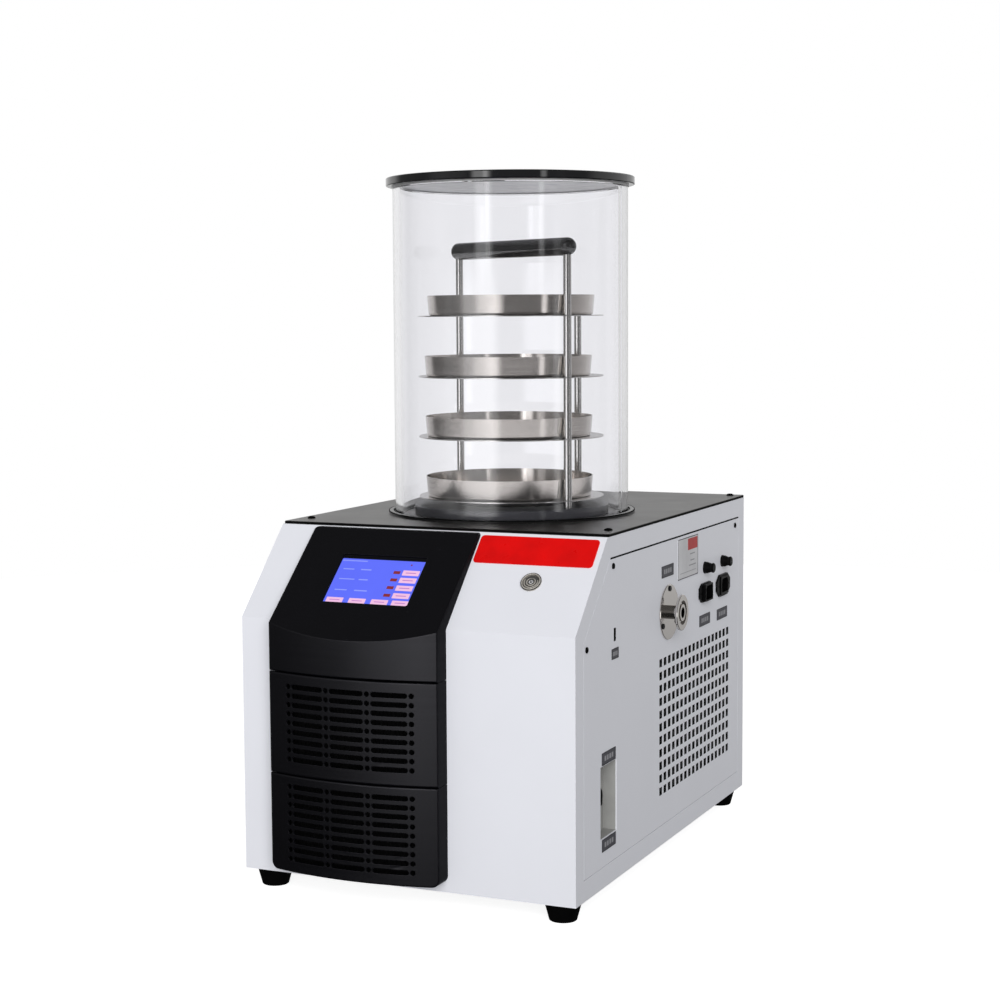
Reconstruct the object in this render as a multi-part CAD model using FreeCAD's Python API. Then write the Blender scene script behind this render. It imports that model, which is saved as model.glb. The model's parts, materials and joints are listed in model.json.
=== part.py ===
"""Benchtop laboratory freeze dryer with a clear drying chamber, a tray rack and a cold trap.

Millimetres.  The origin is on the floor at the middle of the casing's footprint.
+X points to the service side (the right side seen from the front), the controls face -Y, +Z is up.
"""
import FreeCAD
import Part
import math
import os

Vector = FreeCAD.Vector
RIGHT = Vector(1, 0, 0)
BACK = Vector(0, 1, 0)
UP = Vector(0, 0, 1)
DOWN = Vector(0, 0, -1)
OVERCUT = 2.0                   # how far cutting tools run past the faces that they cut

# ---- casing -------------------------------------------------------------------------------
casing_width = 380.0
casing_depth = 566.0
casing_height = 362.0           # underside of the casing to underside of the top plate
slope_run = 90.0                # depth of the slanted upper front
slope_rise = 90.0               # height of the slanted upper front
sheet = 1.2                     # steel sheet
lip_width = 14.0                # folded lips that carry the top plate and the rear panel
fit_gap = 0.3                   # clearance between pieces that are put together by hand

foot_height = 20.0
foot_top_radius = 19.5
foot_bottom_radius = 14.0
foot_inset = 23.0               # foot axis from the casing's sides, front and rear
foot_recess_radius = 7.0
foot_recess_depth = 9.0
foot_screw_head_radius = 4.5
foot_screw_head_height = 3.0
foot_screw_radius = 2.4
foot_screw_bore = 2.5
foot_screw_reach = 6.0          # thread standing above the base pan

pan_thickness = 1.5
pan_flange_height = 16.0
pan_slot_count = 7
pan_slot_length = 90.0
pan_slot_width = 5.0
pan_slot_pitch = 14.0

# ---- side and rear panels -----------------------------------------------------------------
panel_margin = 22.0             # casing frame left around each side panel
panel_seam = 0.5
panel_top_seam = 1.7
ledge_overlap = 5.0
ledge_width = 12.0
vent_hole = 9.0
vent_pitch = 14.37
vent_columns = 18
vent_rear_offset = 66.3         # last vent column from the casing's rear
vent_low_offset = 61.5          # lowest vent row above the casing's underside
vent_top_clear = 151.0          # highest vent row stays this far below the casing's top
screw_head_radius = 3.1
screw_head_height = 1.3
screw_head_edge = 0.43
screw_radius = 1.5
screw_bore = 1.55
screw_length = 6.0
screw_socket_radius = 1.3
screw_socket_depth = 0.8
panel_screw_inset = 7.5
rear_vent_columns = 12
rear_vent_rows = 6
rear_screw_inset = 8.0
rear_screw_end = 24.0            # highest and lowest rear screws from the panel's ends
rear_vent_low = 60.0

# ---- top plate ----------------------------------------------------------------------------
plate_thickness = 3.0
plate_setback = 3.0             # plate edge behind the top of the slanted front
plate_corner_radius = 2.0
plate_edge_chamfer = 0.4
plate_screw_side = 14.0
plate_screw_front = 36.0
plate_screw_rear = 12.0
plate_screw_head_radius = 2.9
plate_screw_head_height = 1.5

# ---- drying chamber -----------------------------------------------------------------------
chamber_from_plate_front = 190.0
cylinder_outer_radius = 133.0
cylinder_wall = 8.0
seal_outer_reach = 7.5          # seal ring's edge outside the cylinder
seal_inner_reach = 3.0          # and inside it
seal_floor = 1.0
seal_lip_height = 2.6
seal_lip_gap = 1.4
gasket_thickness = 2.0
gasket_overhang = 0.8
lid_overhang = 7.5
lid_thickness = 9.0
lid_edge_radius = 1.2

# ---- rack, shelves and trays --------------------------------------------------------------
shelf_count = 4
shelf_clearance = 19.7          # shelf edge to the inside of the cylinder
shelf_thickness = 1.2
shelf_pitch = 68.0
first_shelf_height = 18.0       # underside of the lowest shelf above the top plate
tray_rod_clear = 0.5
tray_draft = 1.6
tray_height = 22.5
tray_wall = 0.9
tray_floor_radius = 2.5
tray_pull = (0.0, 4.1, 3.4, 2.9)    # how far each tray, from the top, is drawn out to the open side
rod_radius = 4.4
rod_edge_inset = 5.3            # rod axis inside the shelf's edge
rod_fit = 0.02
rod_edge = 0.5
rack_turn = -29.0               # direction of the first rod, in degrees from +X
rod_spacing = 90.0              # degrees from one rod to the next
short_rod_rise = 5.0            # rear rod standing above the top shelf
handle_radius = 9.9
handle_above_shelf = 75.8       # handle axis above the underside of the top shelf
head_clearance = 58.8           # handle to the top of the cylinder
handle_socket_depth = 8.0

# ---- cold trap ----------------------------------------------------------------------------
trap_rod_inset = 5.0            # trap wall inside the circle of the rods
trap_above_compressor = 19.2
trap_wall = 1.5
trap_flange_width = 10.0
trap_plate_gap = 0.4
cover_overhang = 4.0
cover_lip_width = 3.0
cover_thickness = 8.5
cover_hole_radius = 62.0
cover_edge_radius = 1.0
trap_drain_radius = 5.0
trap_drain_outer = 6.5
trap_drain_length = 42.0
coil_tube_radius = 4.0
coil_pitch = 10.5
coil_turns = 7
coil_top_clear = 10.0
insulation_wall = 24.0
insulation_floor = 26.0
insulation_top_gap = 2.0

# ---- control front ------------------------------------------------------------------------
bezel_centre_x = -48.0
bezel_width = 195.0
bezel_proud = 21.0              # side edges of the black front ahead of the white front
bezel_bulge = 14.0              # extra depth at the middle of the convex front
bezel_top_proud = 7.0
bezel_top_gap = 0.5
bezel_wall = 2.6
bezel_height = 51.5             # lower edge of the bezel below the bend of the front
bezel_corner_radius = 4.0
bezel_edge_radius = 1.6
grille_seam = 0.7
upper_grille_height = 107.5
grille_base_offset = 10.0       # lower edge of the black front above the casing's underside
grille_corner_radius = 8.0
grille_rows = 9
grille_row_pitch = 9.56
grille_columns = 4
grille_column_pitch = 47.4
grille_hole_radius = 2.7
grille_slot_length = 39.0
grille_slot_radius = 2.6
upper_grille_top_margin = 14.0
lower_grille_top_margin = 12.0
air_opening_side = 22.0         # white front left at each side behind the grilles
air_opening_end = 12.0

# ---- display ------------------------------------------------------------------------------
window_width = 99.0
window_height = 67.5
window_top = 37.3               # top of the window down the slanted face of the bezel
window_corner_radius = 2.0
window_offset_x = 2.0
screen_border = 3.0
screen_thickness = 1.6
board_border = 7.5
board_thickness = 1.6
display_depth = 9.0
display_gap = 0.3
display_post_radius = 1.6
display_post_inset = 1.8
display_plug_width = 37.8
display_plug_height = 20.4
display_plug_depth = 4.5

# ---- power button and badge ---------------------------------------------------------------
button_offset = 4.5             # right of the middle of the white front
button_down_slope = 62.7
button_flange_radius = 11.0
button_flange_height = 2.2
button_barrel_radius = 9.4
button_barrel_length = 24.0
button_bore_radius = 8.3
button_cap_clear = 0.08
button_cap_height = 5.0
button_cap_sink = 0.3
button_dish_share = 0.72         # dished part of the cap's radius
button_stem_radius = 4.0
button_stem_length = 12.0
button_nut_radius = 13.5
button_nut_thickness = 3.5
button_travel = 1.8
badge_margin = 4.1
badge_height = 36.0
badge_offset = -2.0
badge_down_slope = 22.5
badge_thickness = 1.0
badge_corner_radius = 4.0

# ---- vacuum port --------------------------------------------------------------------------
port_from_chamber = -2.0        # port axis ahead of the chamber axis
port_below_top = 103.2          # port axis below the casing's top
port_plate_radius = 31.0
port_plate_thickness = 1.6
port_neck_radius = 7.8
port_bore_radius = 6.0
port_neck_length = 12.6
port_flange_radius = 20.0
port_flange_rim = 2.6
port_flange_taper = 2.2
port_recess_radius = 13.5
port_lip_radius = 9.4
port_recess_depth = 2.4
port_screw_circle = 26.2
port_screw_count = 3
port_hole_clear = 1.5

# ---- electrical service pieces ------------------------------------------------------------
service_rear_offset = 88.5      # rear socket and fuse column from the casing's rear
service_pitch = 67.0            # front column ahead of the rear column
fuse_below_top = 69.0
socket_below_top = 97.5
socket_label_below_top = 132.0
outlet_width = 50.0
outlet_height = 26.0
inlet_width = 46.0
inlet_height = 22.0
socket_waist_width = 29.0
socket_end_height = 11.0
socket_flange = 2.6
outlet_body_width = 29.0
outlet_body_height = 22.0
inlet_body_width = 27.0
inlet_body_height = 19.8
socket_body_depth = 20.0
socket_mouth_width = 24.5
socket_mouth_height = 16.5
socket_mouth_depth = 15.0
socket_mouth_chamfer = 3.5
inlet_collar = 3.6
outlet_collar = 1.4
outlet_recess = 5.0
pin_width = 4.0
pin_thickness = 2.0
pin_length = 9.0
pin_spacing = 7.0
pin_offset = 3.0
socket_screw_spacing = 40.0
fuse_flange_radius = 7.0
fuse_flange_thickness = 1.4
fuse_barrel_radius = 6.0
fuse_barrel_length = 26.0
fuse_bore_radius = 4.3
fuse_cap_base_radius = 6.7
fuse_cap_waist_radius = 5.1
fuse_cap_end_radius = 5.7
fuse_cap_length = 10.4
fuse_cap_gap = 0.2
fuse_stem_radius = 4.24
fuse_stem_length = 11.0
fuse_groove_count = 16
fuse_groove_radius = 0.45
fuse_cap_base_height = 1.9
fuse_cap_waist_height = 6.6
fuse_cap_grip_height = 8.4       # full grip radius starts here
fuse_groove_height = 7.0
fuse_cap_end_edge = 0.9
data_port_front_offset = 111.0  # data port from the casing's front
data_port_below_top = 103.0
data_port_width = 6.0
data_port_height = 13.5
data_port_depth = 15.0
data_port_wall = 0.6
data_tongue = 1.8
data_flange_width = 14.0
data_flange_height = 19.5

# ---- drain pocket -------------------------------------------------------------------------
pocket_front_offset = 92.2      # pocket centre from the casing's front
pocket_above_base = 90.0        # pocket centre above the casing's underside
pocket_width = 47.0
pocket_height = 75.5
pocket_depth = 15.0
pocket_lip = 6.0
drain_offset_y = 3.0
drain_offset_z = -0.2
drain_body_radius = 9.0
drain_body_length = 26.0
drain_neck_radius = 5.5
drain_bore_radius = 4.0
drain_stem_clear = 0.08
drain_stem_length = 14.0
drain_knob_radius = 10.4
drain_knob_thickness = 3.0
drain_knob_gap = 0.3
drain_knob_edge = 1.0
drain_grip_width = 5.0
drain_grip_length = 16.0
drain_grip_height = 2.4
drain_grip_corner = 1.7
hose_outer_radius = 7.0
hose_inner_radius = 5.2
hose_spigot_radius = 5.0
hose_spigot_length = 14.0
hose_spigot_grip = 10.0
hose_bend_radius = 25.2
hose_drop_share = 0.6            # hose's low point above the valve axis, in bend radii
hose_sweep_share = 0.45          # where the hose turns towards the valve, along its way in X
hose_run_share = 1.8             # straight run into the valve, in bend radii

# ---- labels -------------------------------------------------------------------------------
label_thickness = 0.4
label_width = 39.5
label_height = 13.0
label_corner_radius = 0.8
port_label_above = 46.5         # label centre above the port axis
port_label_offset = -3.7        # label centre ahead of the port axis
inlet_label_rise = 1.7          # inlet's label above the outlet's
data_label_below = 19.8
data_label_width = 20.0
data_label_height = 11.0
pocket_label_gap = 0.8
rating_front_of_rear = 218.0    # centre of the rating plate from the casing's rear
rating_below_top = 49.5
rating_width = 71.0
rating_height = 46.0
rating_thickness = 0.5

# ---- refrigeration and air ----------------------------------------------------------------
condenser_depth = 44.0
condenser_front_gap = 18.0      # coil face behind the casing's front wall
condenser_side_margin = 8.0
condenser_plate = 1.6
condenser_base_gap = 12.0
condenser_fin_pitch = 4.0
condenser_fin_thickness = 0.8
condenser_fin_relief = 4.0
condenser_tube_radius = 4.0
condenser_tube_rows = 7
condenser_bend_reach = 9.0
condenser_bend_radius = 7.2
shroud_thickness = 2.0
shroud_ring_length = 30.0
shroud_ring_wall = 2.0
fan_tip_gap = 3.5
fan_radius = 72.0
fan_hub_radius = 22.0
fan_hub_length = 18.0
fan_blade_count = 5
fan_blade_chord = 40.0
fan_blade_thickness = 1.6
fan_blade_pitch = 28.0
fan_blade_corner = 13.3
fan_blade_root = 17.6            # blade root inside the hub
fan_back_gap = 4.0
motor_radius = 27.0
motor_length = 38.0
motor_shaft_radius = 4.0
motor_shaft_clear = 0.05
motor_shaft_length = 20.0
motor_arm_width = 10.0
motor_arm_count = 3
motor_arm_turn = 30.0
compressor_x = 62.0
compressor_rear_offset = 92.0   # compressor axis from the casing's rear
compressor_radius = 70.0
compressor_share = 0.4155       # part of the casing's height
compressor_dome = 34.0
compressor_seam_radius = 73.0
compressor_seam_height = 5.0
compressor_seam_share = 0.55     # seam's place up the shell
compressor_shoulder_radius = 50.4
compressor_shoulder_drop = 8.5
compressor_crown_radius = 25.2
compressor_plate_length = 180.0
compressor_plate_width = 110.0
compressor_plate_thickness = 3.0
compressor_foot_inset = 14.0
grommet_radius = 11.0
grommet_height = 14.0
stub_radius = 4.8
stub_length = 12.0
suction_stub_angle = 180.0
suction_stub_share = 0.62
discharge_stub_angle = 215.0
discharge_stub_share = 0.32
pipe_radius = 3.2
suction_radius = 4.8
pipe_bend = 20.0
suction_bend = 16.0
drier_radius = 11.0
drier_length = 80.0
drier_edge = 6.6

# ---- electronics --------------------------------------------------------------------------
control_board_width = 100.0
control_board_height = 150.0
control_board_x = 118.0
control_board_below_bend = 46.0 # board's upper edge below the bend of the front
standoff_radius = 3.5
standoff_length = 9.0
standoff_inset = 7.0
relay_count = 3
relay_width = 16.0
relay_height = 25.6
relay_pitch = 22.4
relay_inset = 12.8
relay_above_edge = 16.0
capacitor_radius = 8.0
capacitor_length = 22.4
capacitor_pitch = 25.6
capacitor_inset = 16.0
capacitor_below_edge = 32.0
terminal_above_edge = 54.4
terminal_height = 9.6
terminal_depth = 11.2
chip_above_edge = 80.0
chip_width = 32.0
chip_height = 19.2
chip_depth = 3.2
supply_length = 150.0
supply_width = 92.0
supply_height = 58.0
supply_side_offset = 24.0
supply_rear_offset = 46.0
supply_slot_count = 9
supply_slot_width = 3.0
supply_slot_pitch = 12.0
supply_tab = 10.0
supply_tab_thickness = 2.0

# ---- places worked out from the sizes -----------------------------------------------------
half_width = casing_width / 2
front_y = -casing_depth / 2
rear_y = casing_depth / 2
base_z = foot_height
top_z = base_z + casing_height
bend_z = top_z - slope_rise
slope_top_y = front_y + slope_run
plate_top_z = top_z + plate_thickness
plate_front_y = slope_top_y + plate_setback
chamber_y = plate_front_y + chamber_from_plate_front
slope_angle = math.degrees(math.atan2(slope_rise, slope_run))
floor_z = base_z + pan_thickness

bezel_top_z = top_z - bezel_top_gap
bezel_side_y = front_y - bezel_proud
bezel_nose_y = bezel_side_y - bezel_bulge
bezel_bottom_z = bend_z - bezel_height
bezel_left_x = bezel_centre_x - bezel_width / 2
bezel_right_x = bezel_centre_x + bezel_width / 2
white_front_x = (bezel_right_x + half_width) / 2
badge_width = half_width - bezel_right_x - 2 * badge_margin
badge_x = white_front_x + badge_offset
button_x = white_front_x + button_offset
grille_split_z = bezel_bottom_z - upper_grille_height
grille_bottom_z = base_z + grille_base_offset
front_arc_radius = (bezel_width ** 2 / 4 + bezel_bulge ** 2) / (2 * bezel_bulge)
front_arc_centre_y = bezel_nose_y + front_arc_radius

port_y = chamber_y + port_from_chamber
port_z = top_z - port_below_top
rear_service_y = rear_y - service_rear_offset
front_service_y = rear_service_y - service_pitch
pocket_y = front_y + pocket_front_offset
pocket_z = base_z + pocket_above_base
drain_y = pocket_y + drain_offset_y
drain_z = pocket_z + drain_offset_z
data_port_y = front_y + data_port_front_offset
data_port_z = top_z - data_port_below_top
cylinder_inner_radius = cylinder_outer_radius - cylinder_wall
shelf_radius = cylinder_inner_radius - shelf_clearance
rod_circle_radius = shelf_radius - rod_edge_inset
tray_top_radius = rod_circle_radius - rod_radius - tray_rod_clear
tray_bottom_radius = tray_top_radius - tray_draft
seal_outer_radius = cylinder_outer_radius + seal_outer_reach
seal_inner_radius = cylinder_inner_radius - seal_inner_reach
lid_radius = cylinder_outer_radius + lid_overhang
compressor_height = compressor_share * casing_height
compressor_base_z = floor_z + grommet_height + compressor_plate_thickness
compressor_top_z = compressor_base_z + compressor_height
trap_inner_radius = rod_circle_radius - trap_rod_inset
trap_outer_radius = trap_inner_radius + trap_wall
trap_bottom_z = compressor_top_z + trap_above_compressor + insulation_floor + fit_gap + trap_wall
cover_radius = trap_outer_radius + trap_flange_width + cover_overhang
coil_radius = trap_outer_radius + coil_tube_radius + fit_gap
insulation_inner_radius = coil_radius + coil_tube_radius + fit_gap
insulation_outer_radius = insulation_inner_radius + insulation_wall
insulation_bottom_z = trap_bottom_z - trap_wall - fit_gap - insulation_floor
shelf_base_z = plate_top_z + first_shelf_height
top_shelf_z = shelf_base_z + (shelf_count - 1) * shelf_pitch
cover_top_z = plate_top_z + trap_wall + cover_thickness
handle_z = top_shelf_z + handle_above_shelf
cylinder_base_z = plate_top_z + seal_floor
cylinder_top_z = handle_z + handle_radius + head_clearance
cylinder_height = cylinder_top_z - cylinder_base_z
lid_z = cylinder_top_z + gasket_thickness
condenser_front_y = front_y + sheet + condenser_front_gap
condenser_back_y = condenser_front_y + condenser_depth
condenser_half_width = bezel_width / 2 - condenser_side_margin
condenser_bottom_z = floor_z + condenser_base_gap
condenser_top_z = bezel_bottom_z - condenser_side_margin
fan_z = (condenser_bottom_z + condenser_top_z) / 2
fan_plane_y = condenser_back_y + shroud_thickness + fan_back_gap
compressor_y = rear_y - compressor_rear_offset


# ---- shape helpers ------------------------------------------------------------------------
def block(x0, x1, y0, y1, z0, z1):
    """Box between two corners."""
    return Part.makeBox(x1 - x0, y1 - y0, z1 - z0, Vector(x0, y0, z0))


def rod(radius, start, axis, length):
    """Round bar from a start point along an axis."""
    return Part.makeCylinder(radius, length, start, axis)


def sleeve(outer, inner, start, axis, length):
    """Round tube from a start point along an axis."""
    run = Vector(axis).normalize()
    bore = rod(inner, start - run * OVERCUT, run, length + 2 * OVERCUT)
    return rod(outer, start, run, length).cut(bore)


def prism(points, travel):
    """Flat polygon swept along a straight line."""
    face = Part.Face(Part.makePolygon(points + [points[0]]))
    return face.extrude(travel)


def side_prism(outline, x0, x1):
    """Polygon of (y, z) points swept from x0 to x1."""
    points = [Vector(x0, y, z) for y, z in outline]
    return prism(points, Vector(x1 - x0, 0, 0))


def rounded_plate(width, height, radius, thickness):
    """Plate with rounded corners, centred on the origin, lying in XY and rising along +Z."""
    plate = block(-width / 2, width / 2, -height / 2, height / 2, 0, thickness)
    corners = [edge for edge in plate.Edges if is_along(edge, UP)]
    return plate.makeFillet(radius, corners)


def is_along(edge, axis):
    """True for a straight edge that runs along an axis."""
    if not isinstance(edge.Curve, Part.Line):
        return False
    return abs(edge.Curve.Direction.dot(axis)) > 1 - 1e-6


def merge(shapes):
    """One solid from touching shapes."""
    joined = shapes[0].multiFuse(shapes[1:])
    return joined.removeSplitter()


def turned(profile, origin, axis):
    """Solid of revolution from (radius, height) points about an axis through the origin point."""
    points = [Vector(radius, 0, height) for radius, height in profile]
    face = Part.Face(Part.makePolygon(points + [points[0]]))
    solid = face.revolve(Vector(0, 0, 0), UP, 360)
    return placed(solid, origin, axis)


def placed(shape, origin, axis):
    """Moves a shape built about +Z at the world origin to a point and axis."""
    moved = shape.copy()
    moved.Placement = FreeCAD.Placement(origin, FreeCAD.Rotation(UP, axis))
    return moved


def facing_right(shape, x, y, z):
    """Places a shape drawn in XY, rising along +Z, on a wall that faces +X, with its X along +Y."""
    turn = FreeCAD.Rotation(BACK, UP, RIGHT, "ZXY")
    moved = shape.copy()
    moved.Placement = FreeCAD.Placement(Vector(x, y, z), turn)
    return moved


def on_slope(shape, x, down, start_y, start_z, angle, lift=0.0):
    """Places a shape drawn in XY, rising along +Z, on a plane that slants up and back."""
    tilt = math.radians(angle)
    normal = Vector(0, -math.sin(tilt), math.cos(tilt))
    along = Vector(0, -math.cos(tilt), -math.sin(tilt))
    origin = Vector(x, start_y, start_z) + along * down + normal * lift
    moved = shape.copy()
    moved.Placement = FreeCAD.Placement(origin, FreeCAD.Rotation(RIGHT, angle))
    return moved


def mirrored(shape):
    """Copy of a shape on the other side of the middle plane of the casing."""
    return shape.mirror(Vector(0, 0, 0), RIGHT)


def bent_tube(points, bend, outer, inner=0.0):
    """Tube or bar along straight runs joined by tangent arcs of one radius."""
    edges = []
    start = points[0]
    for before, corner, after in zip(points, points[1:], points[2:]):
        back = (before - corner).normalize()
        ahead = (after - corner).normalize()
        half = back.getAngle(ahead) / 2
        reach = bend / math.tan(half)
        middle = (back + ahead).normalize() * (bend / math.sin(half) - bend)
        edges.append(Part.LineSegment(start, corner + back * reach).toShape())
        edges.append(Part.Arc(corner + back * reach, corner + middle, corner + ahead * reach).toShape())
        start = corner + ahead * reach
    edges.append(Part.LineSegment(start, points[-1]).toShape())
    path = Part.Wire(edges)
    direction = points[1] - points[0]
    skin = path.makePipeShell([ring_wire(points[0], direction, outer)], True, True)
    if inner == 0.0:
        return Part.Solid(skin)
    bore = path.makePipeShell([ring_wire(points[0], direction, inner)], True, True)
    return Part.Solid(skin).cut(Part.Solid(bore))


def ring_wire(centre, axis, radius):
    """Circle as a wire."""
    return Part.Wire(Part.Edge(Part.Circle(centre, axis, radius)))


def save(name, shape):
    """Writes one node."""
    shape.exportStep("parts/" + name + ".step")


# ---- outlines -----------------------------------------------------------------------------
def slope_y(z, inset=0.0):
    """Depth of the slanted front at a height, with the wall moved inwards by inset."""
    length = math.hypot(slope_run, slope_rise)
    shift = inset * length / slope_rise
    return front_y + (z - bend_z) * slope_run / slope_rise + shift


def slope_z(y, inset=0.0):
    """Height of the slanted front at a depth, with the wall moved inwards by inset."""
    length = math.hypot(slope_run, slope_rise)
    shift = inset * length / slope_run
    return bend_z + (y - front_y) * slope_rise / slope_run - shift


def casing_outline(inset, top_extra=0.0):
    """Side view of the casing, moved inwards by inset."""
    top = top_z - inset - top_extra
    return [
        (front_y + inset, base_z + inset),
        (front_y + inset, slope_z(front_y + inset, inset)),
        (slope_y(top, inset), top),
        (rear_y - inset, top),
        (rear_y - inset, base_z + inset),
    ]


def front_plan(inset, back_y, z0, z1):
    """Upright prism with the convex plan of the black front, moved inwards by inset."""
    radius = front_arc_radius - inset
    half = bezel_width / 2 - inset
    side_y = front_arc_centre_y - math.sqrt(radius ** 2 - half ** 2)
    left = Vector(bezel_centre_x - half, side_y, z0)
    nose = Vector(bezel_centre_x, front_arc_centre_y - radius, z0)
    right = Vector(bezel_centre_x + half, side_y, z0)
    right_back = Vector(right.x, back_y, z0)
    left_back = Vector(left.x, back_y, z0)
    edges = [
        Part.Arc(left, nose, right).toShape(),
        Part.LineSegment(right, right_back).toShape(),
        Part.LineSegment(right_back, left_back).toShape(),
        Part.LineSegment(left_back, left).toShape(),
    ]
    return Part.Face(Part.Wire(edges)).extrude(Vector(0, 0, z1 - z0))


# ---- screws and feet ----------------------------------------------------------------------
def pan_screw(point, outward):
    """Pan-head screw whose head stands on the point, with its thread going the other way."""
    axis = Vector(outward).normalize()
    head = rod(screw_head_radius, point, axis, screw_head_height)
    rim = [edge for edge in head.Edges if abs((edge.CenterOfMass - point).dot(axis)) > screw_head_height / 2]
    rim = [edge for edge in rim if isinstance(edge.Curve, Part.Circle)]
    head = head.makeFillet(screw_head_edge, rim)
    shank = rod(screw_radius, point - axis * screw_length, axis, screw_length)
    socket = rod(screw_socket_radius, point + axis * (screw_head_height - screw_socket_depth), axis, OVERCUT)
    return merge([head, shank]).cut(socket)


def plate_screw_points():
    """Screw places in the top plate, on its upper face."""
    side = half_width - plate_screw_side
    front = plate_front_y + plate_screw_front
    rear = rear_y - plate_screw_rear
    return [Vector(x, y, plate_top_z) for x in (-side, side) for y in (front, rear)]


def countersunk_screw(point, radius_gap=0.0, length=screw_length):
    """Countersunk screw flush with the point, pointing down; radius_gap widens it into its hole."""
    wide = plate_screw_head_radius + radius_gap
    head = Part.makeCone(wide, screw_radius + radius_gap, plate_screw_head_height, point, DOWN)
    shank = rod(screw_radius + radius_gap, point, DOWN, length + plate_screw_head_height)
    return merge([head, shank])


def make_top_plate_screws():
    """Four countersunk screws in the top plate."""
    screws = []
    for point in plate_screw_points():
        socket = rod(screw_socket_radius, point - UP * screw_socket_depth, UP, OVERCUT)
        screws.append(countersunk_screw(point).cut(socket))
    return Part.makeCompound(screws)


def panel_screw_points():
    """Screw places of the right side panel, on its outer face."""
    outline = casing_outline(panel_margin + panel_seam, panel_top_seam - panel_seam)
    bend_y, lower_bend_z = outline[1]
    upper_y, upper_z = outline[2]
    back_y = outline[3][0]
    high = upper_z - panel_screw_inset
    return [
        Vector(half_width, bend_y + panel_screw_inset, lower_bend_z - panel_screw_inset),
        Vector(half_width, upper_y + panel_screw_inset, high),
        Vector(half_width, back_y - 2 * panel_screw_inset, high),
    ]


def rear_screw_points():
    """Screw places of the rear panel, on its outer face."""
    side = half_width - sheet - rear_screw_inset
    heights = (base_z + rear_screw_end, (base_z + top_z) / 2, top_z - rear_screw_end)
    return [Vector(x, rear_y, z) for x in (-side, side) for z in heights]


def make_panel_screws():
    """Identical pan-head screws that hold the side and rear panels."""
    screws = []
    for point in panel_screw_points():
        screw = pan_screw(point, RIGHT)
        screws.append(screw)
        screws.append(mirrored(screw))
    for point in rear_screw_points():
        screws.append(pan_screw(point, BACK))
    return Part.makeCompound(screws)


def foot_points():
    """Foot axes on the underside of the base pan."""
    side = half_width - foot_inset
    front = front_y + foot_inset
    rear = rear_y - foot_inset
    return [Vector(x, y, base_z) for x in (-side, side) for y in (front, rear)]


def make_feet():
    """Four tapered rubber feet."""
    feet = []
    edge = 0.6
    profile = [
        (foot_screw_bore, base_z),
        (foot_top_radius, base_z),
        (foot_top_radius, base_z - edge),
        (foot_bottom_radius + edge / 2, edge),
        (foot_bottom_radius - edge / 2, 0),
        (foot_recess_radius, 0),
        (foot_recess_radius, foot_recess_depth),
        (foot_screw_bore, foot_recess_depth),
    ]
    for point in foot_points():
        feet.append(turned(profile, Vector(point.x, point.y, 0), UP))
    return Part.makeCompound(feet)


def make_foot_screws():
    """Screws that hold the feet to the base pan."""
    screws = []
    length = floor_z + foot_screw_reach - foot_recess_depth
    for point in foot_points():
        seat = Vector(point.x, point.y, foot_recess_depth)
        head = rod(foot_screw_head_radius, seat, DOWN, foot_screw_head_height)
        under = seat + DOWN * foot_screw_head_height
        slot = rod(foot_screw_radius / 2, under, UP, foot_screw_head_height / 2)
        shank = rod(foot_screw_radius, seat, UP, length)
        screws.append(merge([head, shank]).cut(slot))
    return Part.makeCompound(screws)


# ---- casing pieces ------------------------------------------------------------------------
def make_base_pan():
    """Folded steel floor with upturned flanges, foot holes and air slots."""
    side = half_width - sheet - fit_gap
    front = front_y + sheet + fit_gap
    rear = rear_y - sheet - fit_gap
    pan = block(-side, side, front, rear, base_z, base_z + pan_flange_height)
    hollow = block(
        -side + pan_thickness, side - pan_thickness, front + pan_thickness, rear - pan_thickness,
        floor_z, base_z + pan_flange_height + OVERCUT)
    pan = pan.cut(hollow)
    tools = [rod(foot_screw_bore, point - UP * OVERCUT, UP, pan_thickness + 2 * OVERCUT)
             for point in foot_points()]
    first = -(pan_slot_count - 1) * pan_slot_pitch / 2
    for index in range(pan_slot_count):
        y = first + index * pan_slot_pitch
        tools.append(block(
            -pan_slot_length / 2, pan_slot_length / 2, y - pan_slot_width / 2, y + pan_slot_width / 2,
            base_z - OVERCUT, floor_z + OVERCUT))
    return pan.cut(Part.makeCompound(tools))


def casing_shell():
    """Front, slanted front and both sides, folded from one sheet, open above, below and behind."""
    outer = side_prism(casing_outline(0), -half_width, half_width)
    inner_front = front_y + sheet
    high = top_z + OVERCUT
    inner = [
        (inner_front, base_z - OVERCUT),
        (inner_front, slope_z(inner_front, sheet)),
        (slope_y(high, sheet), high),
        (rear_y + OVERCUT, high),
        (rear_y + OVERCUT, base_z - OVERCUT),
    ]
    return outer.cut(side_prism(inner, -half_width + sheet, half_width - sheet))


def casing_lips():
    """Folded lips under the top plate and in front of the rear panel."""
    inner_side = half_width - sheet
    top_lip = block(-inner_side, inner_side, slope_top_y, rear_y - sheet, top_z - sheet, top_z)
    gap = block(
        -inner_side + lip_width, inner_side - lip_width, slope_top_y + lip_width, rear_y + OVERCUT,
        top_z - sheet - OVERCUT, top_z + OVERCUT)
    rear_lip = block(
        inner_side - lip_width, inner_side, rear_y - 2 * sheet, rear_y - sheet, base_z + pan_flange_height,
        top_z - sheet)
    return [top_lip.cut(gap), rear_lip, mirrored(rear_lip)]


def panel_ledge():
    """Ring behind the edge of the right side panel."""
    x0 = half_width - 2 * sheet
    x1 = half_width - sheet
    ring = side_prism(casing_outline(panel_margin - ledge_overlap), x0, x1)
    return ring.cut(side_prism(casing_outline(panel_margin + ledge_width), x0 - OVERCUT, x1 + OVERCUT))


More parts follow.
